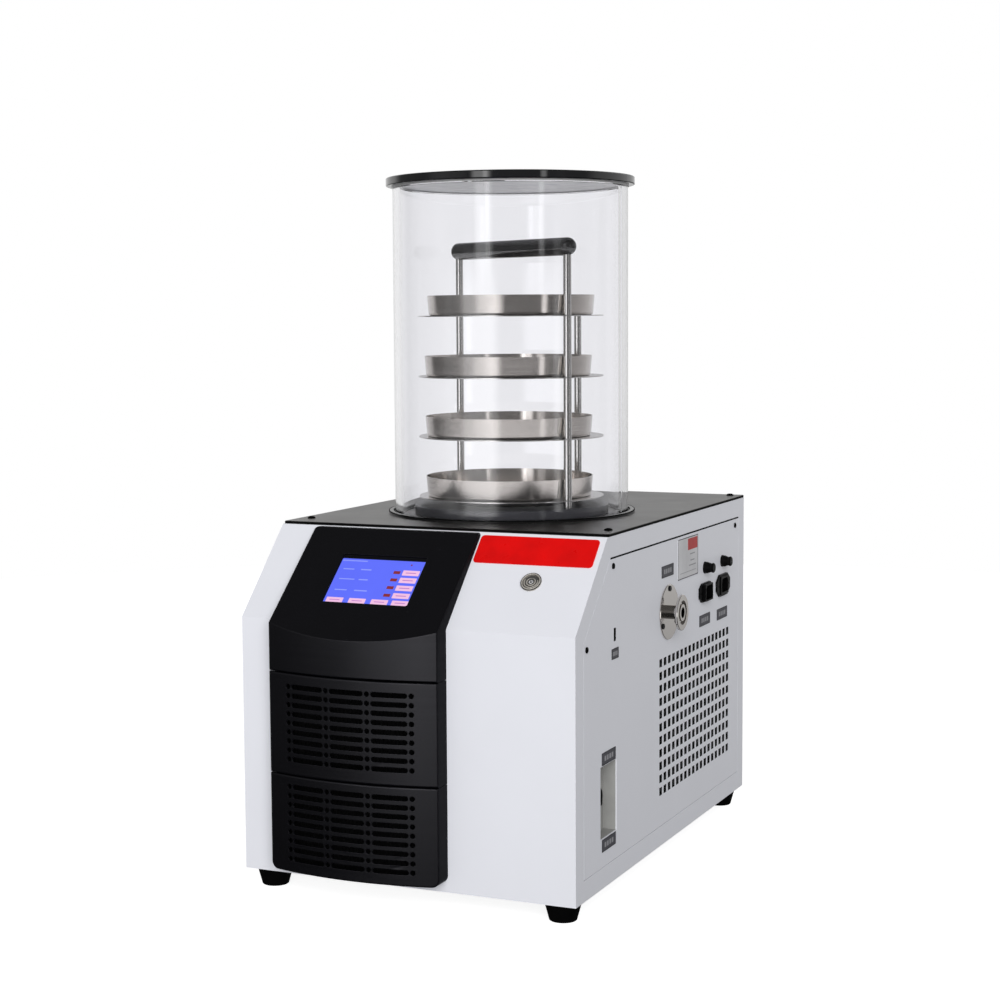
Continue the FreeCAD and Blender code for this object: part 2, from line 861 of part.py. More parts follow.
def make_main_casing():
    """White outer casing."""
    window = side_prism(casing_outline(panel_margin), half_width - sheet, half_width + OVERCUT)
    ledge = panel_ledge()
    body = casing_shell().cut(Part.makeCompound([window, mirrored(window)]))
    body = merge([body, ledge, mirrored(ledge)] + casing_lips())
    air = block(
        bezel_left_x + air_opening_side, bezel_right_x - air_opening_side, front_y - OVERCUT,
        front_y + sheet + OVERCUT, grille_bottom_z + air_opening_end, bezel_bottom_z - air_opening_end)
    tools = [air, display_tunnel(), button_hole()]
    for point in panel_screw_points():
        start = point - RIGHT * (sheet + OVERCUT + screw_length)
        hole = rod(screw_bore, start, RIGHT, screw_length + OVERCUT)
        tools.append(hole)
        tools.append(mirrored(hole))
    for point in rear_screw_points():
        tools.append(rod(screw_bore, point - BACK * screw_length, BACK, screw_length))
    for point in plate_screw_points():
        tools.append(rod(screw_bore, point - UP * (plate_thickness + 2 * sheet), UP, 2 * sheet + OVERCUT))
    return body.cut(Part.makeCompound(tools))


def button_hole():
    """Hole for the power button in the slanted front."""
    hole = rod(button_barrel_radius + fit_gap, Vector(0, 0, -2 * sheet), UP, 4 * sheet)
    return on_slope(hole, button_x, button_down_slope, slope_top_y, top_z, slope_angle)


def vent_rows_between(low_z, high_z):
    """Number of vent rows that fit between two heights."""
    return int((high_z - low_z) / vent_pitch + 1e-6) + 1


def vent_holes():
    """Square vent holes of a side panel, as cutting tools for the right side."""
    low_z = base_z + vent_low_offset
    rows = vent_rows_between(low_z, top_z - vent_top_clear)
    last_y = rear_y - vent_rear_offset
    tools = []
    for column in range(vent_columns):
        y = last_y - column * vent_pitch
        for row in range(rows):
            z = low_z + row * vent_pitch
            tools.append(block(
                half_width - sheet - OVERCUT, half_width + OVERCUT, y - vent_hole / 2, y + vent_hole / 2,
                z - vent_hole / 2, z + vent_hole / 2))
    return tools


def side_panel_blank():
    """Right side panel with its screw holes and vents."""
    outline = casing_outline(panel_margin + panel_seam, panel_top_seam - panel_seam)
    panel = side_prism(outline, half_width - sheet, half_width)
    tools = vent_holes()
    for point in panel_screw_points():
        tools.append(rod(screw_bore, point - RIGHT * (sheet + OVERCUT), RIGHT, sheet + 2 * OVERCUT))
    return panel.cut(Part.makeCompound(tools))


def make_right_side_panel():
    """Service side panel with the cut-outs for the port, sockets, fuses, data port and drain."""
    x0 = half_width - sheet - OVERCUT
    depth = sheet + 2 * OVERCUT
    tools = [rod(port_neck_radius + port_hole_clear, Vector(x0, port_y, port_z), RIGHT, depth)]
    for y in (front_service_y, rear_service_y):
        tools.append(rod(
            fuse_barrel_radius + fit_gap, Vector(x0, y, top_z - fuse_below_top), RIGHT, depth))
    tools.append(centred_window(
        front_service_y, top_z - socket_below_top, inlet_body_width + fit_gap, inlet_body_height + fit_gap))
    tools.append(centred_window(
        rear_service_y, top_z - socket_below_top, outlet_body_width + fit_gap, outlet_body_height + fit_gap))
    tools.append(centred_window(
        data_port_y, data_port_z, data_port_width + 2 * fit_gap, data_port_height + 2 * fit_gap))
    tools.append(centred_window(pocket_y, pocket_z, pocket_width, pocket_height))
    for point in port_screw_points():
        tools.append(rod(screw_bore, point - RIGHT * (sheet + OVERCUT + port_plate_thickness), RIGHT, depth))
    return side_panel_blank().cut(Part.makeCompound(tools))


def centred_window(y, z, width, height):
    """Cutting tool for a rectangular window in the right side panel."""
    return block(
        half_width - sheet - OVERCUT, half_width + OVERCUT, y - width / 2, y + width / 2,
        z - height / 2, z + height / 2)


def make_left_side_panel():
    """Plain vented panel on the left side."""
    return mirrored(side_panel_blank())


def make_rear_panel():
    """Flat rear panel between the casing's sides, with a block of vent holes."""
    side = half_width - sheet - fit_gap
    panel = block(-side, side, rear_y - sheet, rear_y, base_z, top_z - fit_gap)
    tools = [rod(screw_bore, point - BACK * (sheet + OVERCUT), BACK, sheet + 2 * OVERCUT)
             for point in rear_screw_points()]
    for column in range(rear_vent_columns):
        x = (column - (rear_vent_columns - 1) / 2) * vent_pitch
        for row in range(rear_vent_rows):
            z = base_z + rear_vent_low + row * vent_pitch
            tools.append(block(
                x - vent_hole / 2, x + vent_hole / 2, rear_y - sheet - OVERCUT, rear_y + OVERCUT,
                z - vent_hole / 2, z + vent_hole / 2))
    return panel.cut(Part.makeCompound(tools))


def make_top_plate():
    """Black plate that carries the chamber, with the trap opening and countersunk holes."""
    plate = block(-half_width, half_width, plate_front_y, rear_y, top_z, plate_top_z)
    corners = [edge for edge in plate.Edges if is_along(edge, UP)]
    plate = plate.makeFillet(plate_corner_radius, corners)
    upper = [edge for edge in plate.Edges if abs(edge.BoundBox.ZMin - plate_top_z) < 1e-6]
    plate = plate.makeChamfer(plate_edge_chamfer, upper)
    tools = [rod(
        trap_outer_radius + trap_plate_gap, Vector(0, chamber_y, top_z - OVERCUT), UP,
        plate_thickness + 2 * OVERCUT)]
    tools += [countersunk_screw(point, screw_bore - screw_radius) for point in plate_screw_points()]
    return plate.cut(Part.makeCompound(tools))


# ---- control front ------------------------------------------------------------------------
def bezel_face_top():
    """Point (y, z) at the top of the bezel's slanted face."""
    return slope_y(bezel_top_z) - bezel_top_proud, bezel_top_z


def bezel_face_angle():
    """Angle of the bezel's slanted face from level, in degrees."""
    y, z = bezel_face_top()
    return math.degrees(math.atan2(z - bend_z, y - bezel_side_y))


def bezel_profile(inset, back):
    """Side view of the space behind the bezel's slanted face, moved inwards by inset."""
    y, z = bezel_face_top()
    angle = math.radians(bezel_face_angle())
    shift = inset / math.sin(angle)
    low_y = bezel_nose_y - OVERCUT
    low_z = z - (y + shift - low_y) * math.tan(angle)
    high_z = z - inset
    high_y = y + shift - inset / math.tan(angle)
    bottom = bezel_bottom_z + grille_seam / 2 + inset
    if back:
        return [(high_y, high_z), (low_y, low_z), (low_y, bottom), (back, bottom), (back, high_z)]
    return [(high_y, high_z), (low_y, low_z), (low_y, bottom), (front_y, bottom), (front_y, bend_z),
            (slope_y(high_z), high_z)]


def bezel_front_view(z0, z1):
    """Front view of the bezel, with rounded upper corners, as a deep block."""
    frame = block(bezel_left_x, bezel_right_x, bezel_nose_y - OVERCUT, slope_top_y, z0, z1)
    corners = [edge for edge in frame.Edges if is_along(edge, BACK) and edge.CenterOfMass.z > z1 - 1]
    return frame.makeFillet(bezel_corner_radius, corners)


def make_control_bezel():
    """Black upper cover with the slanted display face and the bent, convex lower face."""
    low = bezel_bottom_z + grille_seam / 2
    outer = front_plan(0, slope_top_y, low, bezel_top_z)
    outer = outer.common(side_prism(bezel_profile(0, None), bezel_left_x - OVERCUT, bezel_right_x + OVERCUT))
    outer = outer.common(bezel_front_view(low, bezel_top_z))
    edges = [edge for edge in outer.Edges if is_bezel_front_edge(edge)]
    outer = outer.makeFillet(bezel_edge_radius, edges)
    inner = front_plan(bezel_wall, slope_top_y, low, bezel_top_z)
    inner = inner.common(side_prism(
        bezel_profile(bezel_wall, slope_top_y), bezel_left_x - OVERCUT, bezel_right_x + OVERCUT))
    return outer.cut(Part.makeCompound([inner, window_tool()]))


def is_bezel_front_edge(edge):
    """True for the edges that run round the two front faces of the bezel."""
    middle = edge.valueAt((edge.FirstParameter + edge.LastParameter) / 2)
    face_y, face_z = bezel_face_top()
    angle = math.radians(bezel_face_angle())
    off_face = (middle.y - face_y) * math.sin(angle) - (middle.z - face_z) * math.cos(angle)
    if abs(off_face) < 1e-3:
        return True
    radius = math.hypot(middle.x - bezel_centre_x, middle.y - front_arc_centre_y)
    return abs(radius - front_arc_radius) < 1e-3


def window_tool():
    """Cutting tool for the display window in the bezel."""
    window = rounded_plate(window_width, window_height, window_corner_radius, 2 * bezel_wall + OVERCUT)
    return on_bezel(window, -bezel_wall - OVERCUT / 2)


def on_bezel(shape, lift):
    """Places a shape drawn in XY, centred on the display window, on the bezel's slanted face."""
    y, z = bezel_face_top()
    down = window_top + window_height / 2
    return on_slope(shape, bezel_centre_x + window_offset_x, down, y, z, bezel_face_angle(), lift)


def display_tunnel():
    """Opening in the casing's slanted front behind the display."""
    width = window_width + 2 * board_border
    height = window_height + 2 * board_border
    return on_bezel(rounded_plate(width, height, window_corner_radius, display_reach()), -display_reach())


def display_reach():
    """How deep the display parts and their opening reach below the bezel's slanted face."""
    return bezel_wall + 2 * display_depth + bezel_proud


def make_touch_screen():
    """Glass touch screen behind the window."""
    glass = rounded_plate(
        window_width + 2 * screen_border, window_height + 2 * screen_border, window_corner_radius,
        screen_thickness)
    return on_bezel(glass, -bezel_wall - screen_thickness)


def make_display_board():
    """Display carrier with its circuit board, behind the touch screen."""
    width = window_width + 2 * board_border - 2 * display_gap
    height = window_height + 2 * board_border - 2 * display_gap
    carrier = rounded_plate(
        window_width + 2 * screen_border, window_height + 2 * screen_border, window_corner_radius,
        display_depth - board_thickness)
    board = rounded_plate(width, height, window_corner_radius, board_thickness)
    board.translate(DOWN * board_thickness)
    posts = []
    post_height = display_depth - board_thickness + screen_thickness
    for x in (-1, 1):
        for y in (-1, 1):
            centre = Vector(x * (width / 2 - display_post_inset), y * (height / 2 - display_post_inset), 0)
            posts.append(rod(display_post_radius, centre, UP, post_height))
    plug = block(-display_plug_width / 2, display_plug_width / 2, -display_plug_height / 2,
                 display_plug_height / 2, -board_thickness - display_plug_depth, -board_thickness)
    unit = merge([carrier, board, plug] + posts)
    lift = -bezel_wall - screen_thickness - (display_depth - board_thickness)
    return on_bezel(unit, lift)


def grille_piece(z0, z1, top_margin, low_radius):
    """Black air grille with a convex front and rows of slots and round holes."""
    back_y = front_y
    low = z0 + (0 if low_radius else grille_seam / 2)
    high = z1 - grille_seam / 2
    outer = front_plan(0, back_y, low, high)
    if low_radius:
        corners = [edge for edge in outer.Edges
                   if is_along(edge, BACK) and abs(edge.CenterOfMass.z - low) < 1e-3]
        outer = outer.makeFillet(low_radius, corners)
    edges = [edge for edge in outer.Edges if is_grille_front_edge(edge)]
    outer = outer.makeFillet(bezel_edge_radius, edges)
    inner = front_plan(bezel_wall, back_y + OVERCUT, low + bezel_wall, high - bezel_wall)
    tools = [inner]
    first_z = z1 - top_margin
    rows = min(grille_rows, int((first_z - z0 - lower_grille_top_margin) / grille_row_pitch) + 1)
    for row in range(rows):
        tools += grille_row(first_z - row * grille_row_pitch)
    return outer.cut(Part.makeCompound(tools))


def is_grille_front_edge(edge):
    """True for the edges that lie on the convex front."""
    middle = edge.valueAt((edge.FirstParameter + edge.LastParameter) / 2)
    radius = math.hypot(middle.x - bezel_centre_x, middle.y - front_arc_centre_y)
    return abs(radius - front_arc_radius) < 1e-3


def grille_row(z):
    """Cutting tools for one row of the grille."""
    start_y = bezel_nose_y - OVERCUT
    reach = bezel_bulge + bezel_wall + 2 * OVERCUT
    first_x = bezel_centre_x - (grille_columns - 1) * grille_column_pitch / 2
    tools = []
    for column in range(grille_columns):
        x = first_x + column * grille_column_pitch
        tools.append(rod(grille_hole_radius, Vector(x, start_y, z), BACK, reach))
        if column < grille_columns - 1:
            tools.append(slot_tool(x + grille_column_pitch / 2, start_y, z, reach))
    return tools


def slot_tool(x, y, z, reach):
    """Round-ended slot that cuts along +Y."""
    half = grille_slot_length / 2 - grille_slot_radius
    radius = grille_slot_radius
    left = Vector(x - half, y, z)
    right = Vector(x + half, y, z)
    edges = [
        Part.LineSegment(left + UP * radius, right + UP * radius).toShape(),
        Part.Arc(right + UP * radius, right + RIGHT * radius, right + DOWN * radius).toShape(),
        Part.LineSegment(right + DOWN * radius, left + DOWN * radius).toShape(),
        Part.Arc(left + DOWN * radius, left - RIGHT * radius, left + UP * radius).toShape(),
    ]
    return Part.Face(Part.Wire(edges)).extrude(BACK * reach)


# ---- power button and badge ---------------------------------------------------------------
def on_white_slope(shape, x, down, lift=0.0):
    """Places a shape on the white slanted front."""
    return on_slope(shape, x, down, slope_top_y, top_z, slope_angle, lift)


def make_power_button_body():
    """Metal button housing with a flange in front and a threaded barrel behind."""
    edge = 0.6
    profile = [
        (button_bore_radius, button_flange_height),
        (button_flange_radius - edge, button_flange_height),
        (button_flange_radius, button_flange_height - edge),
        (button_flange_radius, 0),
        (button_barrel_radius, 0),
        (button_barrel_radius, -button_barrel_length),
        (button_stem_radius + button_cap_clear, -button_barrel_length),
        (button_stem_radius + button_cap_clear, -button_cap_height - button_travel),
        (button_bore_radius, -button_cap_height - button_travel),
    ]
    return on_white_slope(turned(profile, Vector(0, 0, 0), UP), button_x, button_down_slope)


def make_power_button_cap():
    """Round push cap with its stem, pressed into the housing by a finger."""
    radius = button_bore_radius - button_cap_clear
    dish = 0.5
    top = button_flange_height - button_cap_sink
    profile = [
        (0, top - dish),
        (radius * button_dish_share, top),
        (radius - dish, top),
        (radius, top - dish),
        (radius, top - button_cap_height),
        (button_stem_radius, top - button_cap_height),
        (button_stem_radius, top - button_cap_height - button_stem_length),
        (0, top - button_cap_height - button_stem_length),
    ]
    return on_white_slope(turned(profile, Vector(0, 0, 0), UP), button_x, button_down_slope)


def make_power_button_nut():
    """Hexagon nut behind the sheet."""
    points = []
    for index in range(6):
        angle = math.radians(60 * index)
        points.append(Vector(button_nut_radius * math.cos(angle), button_nut_radius * math.sin(angle), 0))
    nut = prism(points, DOWN * button_nut_thickness)
    nut = nut.cut(rod(button_barrel_radius + fit_gap / 3, Vector(0, 0, OVERCUT), DOWN,
                      button_nut_thickness + 2 * OVERCUT))
    return on_white_slope(nut, button_x, button_down_slope, -sheet)


def make_front_badge():
    """Plain badge plate on the slanted front."""
    badge = rounded_plate(badge_width, badge_height, badge_corner_radius, badge_thickness)
    return on_white_slope(badge, badge_x, badge_down_slope)


# ---- vacuum port --------------------------------------------------------------------------
def port_screw_points():
    """Screw places on the outer face of the port's mounting plate."""
    points = []
    for index in range(port_screw_count):
        angle = math.radians(90 + index * 360 / port_screw_count)
        offset = Vector(0, math.cos(angle), math.sin(angle)) * port_screw_circle
        points.append(Vector(half_width + port_plate_thickness, port_y, port_z) + offset)
    return points


def port_face_x():
    """Outer end of the vacuum port."""
    return half_width + port_plate_thickness + port_neck_length + port_flange_rim


def make_vacuum_port():
    """Welded vacuum pipe with its mounting plate and a clamp flange at the outer end."""
    face = port_face_x()
    outer_plate = half_width + port_plate_thickness
    edge = 0.5
    profile = [
        (port_bore_radius, 0),
        (port_neck_radius, 0),
        (port_neck_radius, half_width),
        (port_plate_radius, half_width),
        (port_plate_radius, outer_plate - edge),
        (port_plate_radius - edge, outer_plate),
        (port_neck_radius, outer_plate),
        (port_neck_radius, face - port_flange_rim - port_flange_taper),
        (port_flange_radius - edge, face - port_flange_rim),
        (port_flange_radius, face - port_flange_rim + edge),
        (port_flange_radius, face - edge),
        (port_flange_radius - edge, face),
        (port_recess_radius, face),
        (port_recess_radius, face - port_recess_depth),
        (port_lip_radius, face - port_recess_depth),
        (port_lip_radius, face),
        (port_bore_radius, face),
    ]
    port = turned(profile, Vector(0, port_y, port_z), RIGHT)
    trap_space = rod(
        trap_outer_radius, Vector(0, chamber_y, trap_bottom_z - OVERCUT), UP, plate_top_z - trap_bottom_z)
    inner_half = block(-trap_outer_radius, 0, port_y - trap_outer_radius, port_y + trap_outer_radius,
                       port_z - trap_outer_radius, port_z + trap_outer_radius)
    tools = [trap_space, inner_half]
    for point in port_screw_points():
        tools.append(rod(screw_bore, point - RIGHT * (port_plate_thickness + OVERCUT), RIGHT,
                         port_plate_thickness + 2 * OVERCUT))
    return port.cut(Part.makeCompound(tools))


def make_vacuum_port_screws():
    """Three screws that hold the port's plate."""
    return Part.makeCompound([pan_screw(point, RIGHT) for point in port_screw_points()])


# ---- electrical service pieces ------------------------------------------------------------
def socket_flange_plate(width, height, waist, end_height, thickness):
    """Six-cornered panel flange that narrows towards its two screw ears."""
    points = [
        (-width / 2, -end_height / 2), (-waist / 2, -height / 2), (waist / 2, -height / 2),
        (width / 2, -end_height / 2), (width / 2, end_height / 2), (waist / 2, height / 2),
        (-waist / 2, height / 2), (-width / 2, end_height / 2),
    ]
    return prism([Vector(x, y, 0) for x, y in points], UP * thickness)


def socket_mouth(depth):
    """Mouth of a mains socket with its two cut corners, going down from Z zero."""
    half_w = socket_mouth_width / 2
    half_h = socket_mouth_height / 2
    cut = socket_mouth_chamfer
    points = [
        (-half_w, -half_h), (half_w, -half_h), (half_w, half_h - cut), (half_w - cut, half_h),
        (-half_w + cut, half_h), (-half_w, half_h - cut),
    ]
    return prism([Vector(x, y, 0) for x, y in points], DOWN * depth)


def socket_blank(width, height, body_width, body_height, collar):
    """Socket body, flange and collar, with the screw holes, drawn about +Z."""
    flange = socket_flange_plate(width, height, socket_waist_width, socket_end_height, socket_flange)
    rear = block(-body_width / 2, body_width / 2, -body_height / 2, body_height / 2, -socket_body_depth, 0)
    front = rounded_plate(body_width, body_height, 2 * fit_gap, socket_flange + collar)
    blank = merge([flange, rear, front])
    holes = [rod(screw_radius, Vector(x, 0, -OVERCUT), UP, socket_flange + 2 * OVERCUT)
             for x in (-socket_screw_spacing / 2, socket_screw_spacing / 2)]
    return blank.cut(Part.makeCompound(holes))


def pin_places():
    """Centres of the three pins in a mains socket."""
    return [(-pin_spacing, -pin_offset / 2), (0, pin_offset / 2), (pin_spacing, -pin_offset / 2)]


def make_mains_inlet():
    """Mains inlet with three pins in its mouth."""
    height = socket_flange + inlet_collar
    body = socket_blank(inlet_width, inlet_height, inlet_body_width, inlet_body_height, inlet_collar)
    mouth = socket_mouth(socket_mouth_depth)
    mouth.translate(UP * height)
    body = body.cut(mouth)
    floor = height - socket_mouth_depth
    pins = [block(x - pin_thickness / 2, x + pin_thickness / 2, y - pin_width / 2, y + pin_width / 2,
                  floor - OVERCUT, floor + pin_length) for x, y in pin_places()]
    return facing_right(merge([body] + pins), half_width, front_service_y, top_z - socket_below_top)


def make_pump_outlet():
    """Mains outlet for the vacuum pump, with three slots in a recessed face."""
    height = socket_flange + outlet_collar
    body = socket_blank(outlet_width, outlet_height, outlet_body_width, outlet_body_height, outlet_collar)
    recess = socket_mouth(outlet_recess)
    recess.translate(UP * height)
    floor = height - outlet_recess
    slots = [block(x - pin_thickness / 2, x + pin_thickness / 2, y - pin_width / 2, y + pin_width / 2,
                   floor - pin_length, floor + OVERCUT) for x, y in pin_places()]
    outlet = body.cut(Part.makeCompound([recess] + slots))
    return facing_right(outlet, half_width, rear_service_y, top_z - socket_below_top)


def make_fuse_holders():
    """Two panel fuse holders, without their caps."""
    profile = [
        (fuse_bore_radius, -fuse_barrel_length + OVERCUT),
        (fuse_bore_radius, fuse_flange_thickness),
        (fuse_flange_radius, fuse_flange_thickness),
        (fuse_flange_radius, 0),
        (fuse_barrel_radius, 0),
        (fuse_barrel_radius, -fuse_barrel_length),
        (0, -fuse_barrel_length),
        (0, -fuse_barrel_length + OVERCUT),
    ]
    return Part.makeCompound([
        turned(profile, Vector(half_width, y, top_z - fuse_below_top), RIGHT)
        for y in (front_service_y, rear_service_y)])


def fuse_cap(y):
    """Waisted, grooved fuse cap with its stem, turned by hand to take the fuse out."""
    base = fuse_flange_thickness + fuse_cap_gap
    end = base + fuse_cap_length
    profile = [
        (0, base - fuse_stem_length),
        (fuse_stem_radius, base - fuse_stem_length),
        (fuse_stem_radius, base),
        (fuse_cap_base_radius, base),
        (fuse_cap_base_radius, base + fuse_cap_base_height),
        (fuse_cap_waist_radius, base + fuse_cap_waist_height),
        (fuse_cap_end_radius, base + fuse_cap_grip_height),
        (fuse_cap_end_radius, end - fuse_cap_end_edge),
        (fuse_cap_end_radius - fuse_cap_end_edge, end),
        (0, end),
    ]
    cap = turned(profile, Vector(0, 0, 0), UP)
    grooves = []
    for index in range(fuse_groove_count):
        angle = math.radians(360 * index / fuse_groove_count)
        spot = Vector(fuse_cap_end_radius * math.cos(angle), fuse_cap_end_radius * math.sin(angle), 0)
        grooves.append(rod(fuse_groove_radius, spot + UP * (base + fuse_groove_height), UP, fuse_cap_length))
    cap = cap.cut(Part.makeCompound(grooves))
    return placed(cap, Vector(half_width, y, top_z - fuse_below_top), RIGHT)


def make_data_port():
    """Upright data socket with its contact tongue."""
    outer = rounded_plate(data_port_width, data_port_height, data_port_wall, data_port_depth)
    hollow = rounded_plate(
        data_port_width - 2 * data_port_wall, data_port_height - 2 * data_port_wall, data_port_wall / 2,
        data_port_depth)
    hollow.translate(UP * data_port_wall)
    side = data_port_width / 2 - data_port_wall
    half = data_port_height / 2 - 2 * data_port_wall
    tongue = block(side - data_tongue, side, -half, half, data_port_wall, data_port_depth - OVERCUT)
    flange = rounded_plate(data_flange_width, data_flange_height, data_port_wall, sheet)
    flange.translate(UP * (data_port_depth - 2 * sheet))
    port = merge([outer, flange]).cut(hollow)
    port = merge([port, tongue])
    return facing_right(port, half_width - data_port_depth, data_port_y, data_port_z)


# ---- drain --------------------------------------------------------------------------------
def make_drain_pocket():
    """Recessed tray behind the window in the service panel."""
    x_back = half_width - pocket_depth
    x_front = half_width - sheet
    half_w = pocket_width / 2
    half_h = pocket_height / 2
    outer = block(x_back - sheet, x_front, pocket_y - half_w - sheet, pocket_y + half_w + sheet,
                  pocket_z - half_h - sheet, pocket_z + half_h + sheet)
    lip = block(x_front - sheet, x_front, pocket_y - half_w - pocket_lip, pocket_y + half_w + pocket_lip,
                pocket_z - half_h - pocket_lip, pocket_z + half_h + pocket_lip)
    hollow = block(x_back, x_front + OVERCUT, pocket_y - half_w, pocket_y + half_w, pocket_z - half_h,
                   pocket_z + half_h)
    hole = rod(drain_neck_radius + fit_gap, Vector(x_back - sheet - OVERCUT, drain_y, drain_z), RIGHT,
               sheet + 2 * OVERCUT)
    return merge([outer, lip]).cut(Part.makeCompound([hollow, hole]))


def make_drain_valve_body():
    """Drain valve behind the pocket, with a hose spigot."""
    x_wall = half_width - pocket_depth - sheet
    profile = [
        (0, -drain_body_length - hose_spigot_length),
        (hose_spigot_radius, -drain_body_length - hose_spigot_length),
        (hose_spigot_radius, -drain_body_length),
        (drain_body_radius, -drain_body_length),
        (drain_body_radius, 0),
        (drain_neck_radius, 0),
        (drain_neck_radius, sheet + fit_gap),
        (drain_bore_radius, sheet + fit_gap),
        (drain_bore_radius, sheet - drain_stem_length),
        (0, sheet - drain_stem_length),
    ]
    return turned(profile, Vector(x_wall, drain_y, drain_z), RIGHT)


def make_drain_valve_knob():
    """Flat round knob with a finger grip and a stem that turns in the valve."""
    x_wall = half_width - pocket_depth
    base = fit_gap + drain_knob_gap
    disc = rod(drain_knob_radius, Vector(0, 0, base), UP, drain_knob_thickness)
    rim = [edge for edge in disc.Edges if isinstance(edge.Curve, Part.Circle)
           and abs(edge.Curve.Center.z - base - drain_knob_thickness) < 1e-6]
    disc = disc.makeFillet(drain_knob_edge, rim)
    grip = rounded_plate(drain_grip_width, drain_grip_length, drain_grip_corner,
                         drain_grip_height + fit_gap)
    grip.translate(UP * (base + drain_knob_thickness - fit_gap))
    stem = rod(drain_bore_radius - drain_stem_clear, Vector(0, 0, base), DOWN,
               drain_stem_length - sheet)
    return facing_right(merge([disc, grip, stem]), x_wall, drain_y, drain_z)


def make_drain_hose():
    """Soft hose from the cold trap's drain to the drain valve."""
    top = Vector(0, chamber_y, trap_bottom_z - trap_wall - trap_drain_length + hose_spigot_grip)
    end_x = half_width - pocket_depth - sheet - drain_body_length - hose_spigot_length
    end = Vector(end_x + hose_spigot_grip, drain_y, drain_z)
    low_z = drain_z + hose_bend_radius * hose_drop_share
    points = [
        top,
        Vector(top.x, top.y, low_z),
        Vector(end_x * hose_sweep_share, (top.y + end.y) / 2, drain_z),
        Vector(end_x - hose_run_share * hose_bend_radius, end.y, drain_z),
        end,
    ]
    return bent_tube(points, hose_bend_radius, hose_outer_radius, hose_inner_radius + fit_gap / 3)


# ---- labels -------------------------------------------------------------------------------
def side_label(width, height, thickness, y, z):
    """Thin plate glued on the service panel."""
    plate = rounded_plate(width, height, label_corner_radius, thickness)
    return facing_right(plate, half_width, y, z)


def make_function_labels():
    """Blank label plates beside the service pieces."""
    pocket_step = pocket_height / 2 + pocket_label_gap + label_height / 2
    labels = [
        side_label(label_width, label_height, label_thickness, port_y + port_label_offset,
                   port_z + port_label_above),
        side_label(label_width, label_height, label_thickness, pocket_y, pocket_z + pocket_step),
        side_label(label_width, label_height, label_thickness, pocket_y, pocket_z - pocket_step),
        side_label(data_label_width, data_label_height, label_thickness, data_port_y,
                   data_port_z - data_label_below),
    ]
    for y, rise in ((front_service_y, inlet_label_rise), (rear_service_y, 0)):
        labels.append(side_label(
            label_width, label_height, label_thickness, y, top_z - socket_label_below_top + rise))
    return Part.makeCompound(labels)


def make_rating_plate():
    """Blank rating plate on the service panel."""
    y = rear_y - rating_front_of_rear
    return side_label(rating_width, rating_height, rating_thickness, y, top_z - rating_below_top)


# ---- cold trap ----------------------------------------------------------------------------
def make_cold_trap_well():
    """Deep stainless well hung in the top plate, with a side connection and a bottom drain."""
    low = trap_bottom_z - trap_wall
    drain_end = low - trap_drain_length
    profile = [
        (trap_drain_radius, trap_bottom_z),
        (trap_inner_radius, trap_bottom_z),
        (trap_inner_radius, plate_top_z + trap_wall),
        (trap_outer_radius + trap_flange_width, plate_top_z + trap_wall),
        (trap_outer_radius + trap_flange_width, plate_top_z),
        (trap_outer_radius, plate_top_z),
        (trap_outer_radius, low),
        (trap_drain_outer, low),
        (trap_drain_outer, low - trap_drain_length / 2),
        (hose_inner_radius, low - trap_drain_length / 2),
        (hose_inner_radius, drain_end),
        (trap_drain_radius - fit_gap, drain_end),
        (trap_drain_radius - fit_gap, low),
        (trap_drain_radius, low),
    ]
    well = turned(profile, Vector(0, chamber_y, 0), UP)
    side_hole = rod(port_bore_radius, Vector(0, port_y, port_z), RIGHT, trap_outer_radius + OVERCUT)
    return well.cut(side_hole)


def coil_top_z():
    """Highest point of the evaporator coil's centre line."""
    return top_z - coil_top_clear - coil_tube_radius


def make_evaporator_coil():
    """Copper tube wound round the well above the side connection."""
    height = coil_turns * coil_pitch
    helix = Part.makeHelix(coil_pitch, height, coil_radius)
    start = Vector(coil_radius, 0, 0)
    path = Part.Wire(helix.Edges)
    coil = Part.Solid(path.makePipeShell([ring_wire(start, BACK, coil_tube_radius)], True, True))
    coil.translate(Vector(0, chamber_y, coil_top_z() - height))
    return coil


def make_trap_insulation():
    """Foam cup round the well and its coil."""
    profile = [
        (trap_drain_outer + fit_gap, insulation_bottom_z),
        (insulation_outer_radius, insulation_bottom_z),
        (insulation_outer_radius, top_z - insulation_top_gap),
        (insulation_inner_radius, top_z - insulation_top_gap),
        (insulation_inner_radius, insulation_bottom_z + insulation_floor),
        (trap_drain_outer + fit_gap, insulation_bottom_z + insulation_floor),
    ]
    foam = turned(profile, Vector(0, chamber_y, 0), UP)
    passage = rod(port_neck_radius + fit_gap, Vector(0, port_y, port_z), RIGHT,
                  insulation_outer_radius + OVERCUT)
    pipe_way = rod(suction_radius + fit_gap, suction_start() - BACK * coil_tube_radius, BACK,
                   insulation_wall + 3 * coil_tube_radius)
    return foam.cut(Part.makeCompound([passage, pipe_way]))


def make_trap_cover():
    """Black ring over the trap's flange; the tray rack stands on it."""
    seat = plate_top_z + trap_wall
    lip_inner = cover_radius - cover_lip_width
    profile = [
        (cover_hole_radius, seat),
        (lip_inner, seat),
        (lip_inner, plate_top_z),
        (cover_radius, plate_top_z),
        (cover_radius, cover_top_z - cover_edge_radius),
        (cover_radius - cover_edge_radius, cover_top_z),
        (cover_hole_radius + cover_edge_radius, cover_top_z),
        (cover_hole_radius, cover_top_z - cover_edge_radius),
    ]
    return turned(profile, Vector(0, chamber_y, 0), UP)


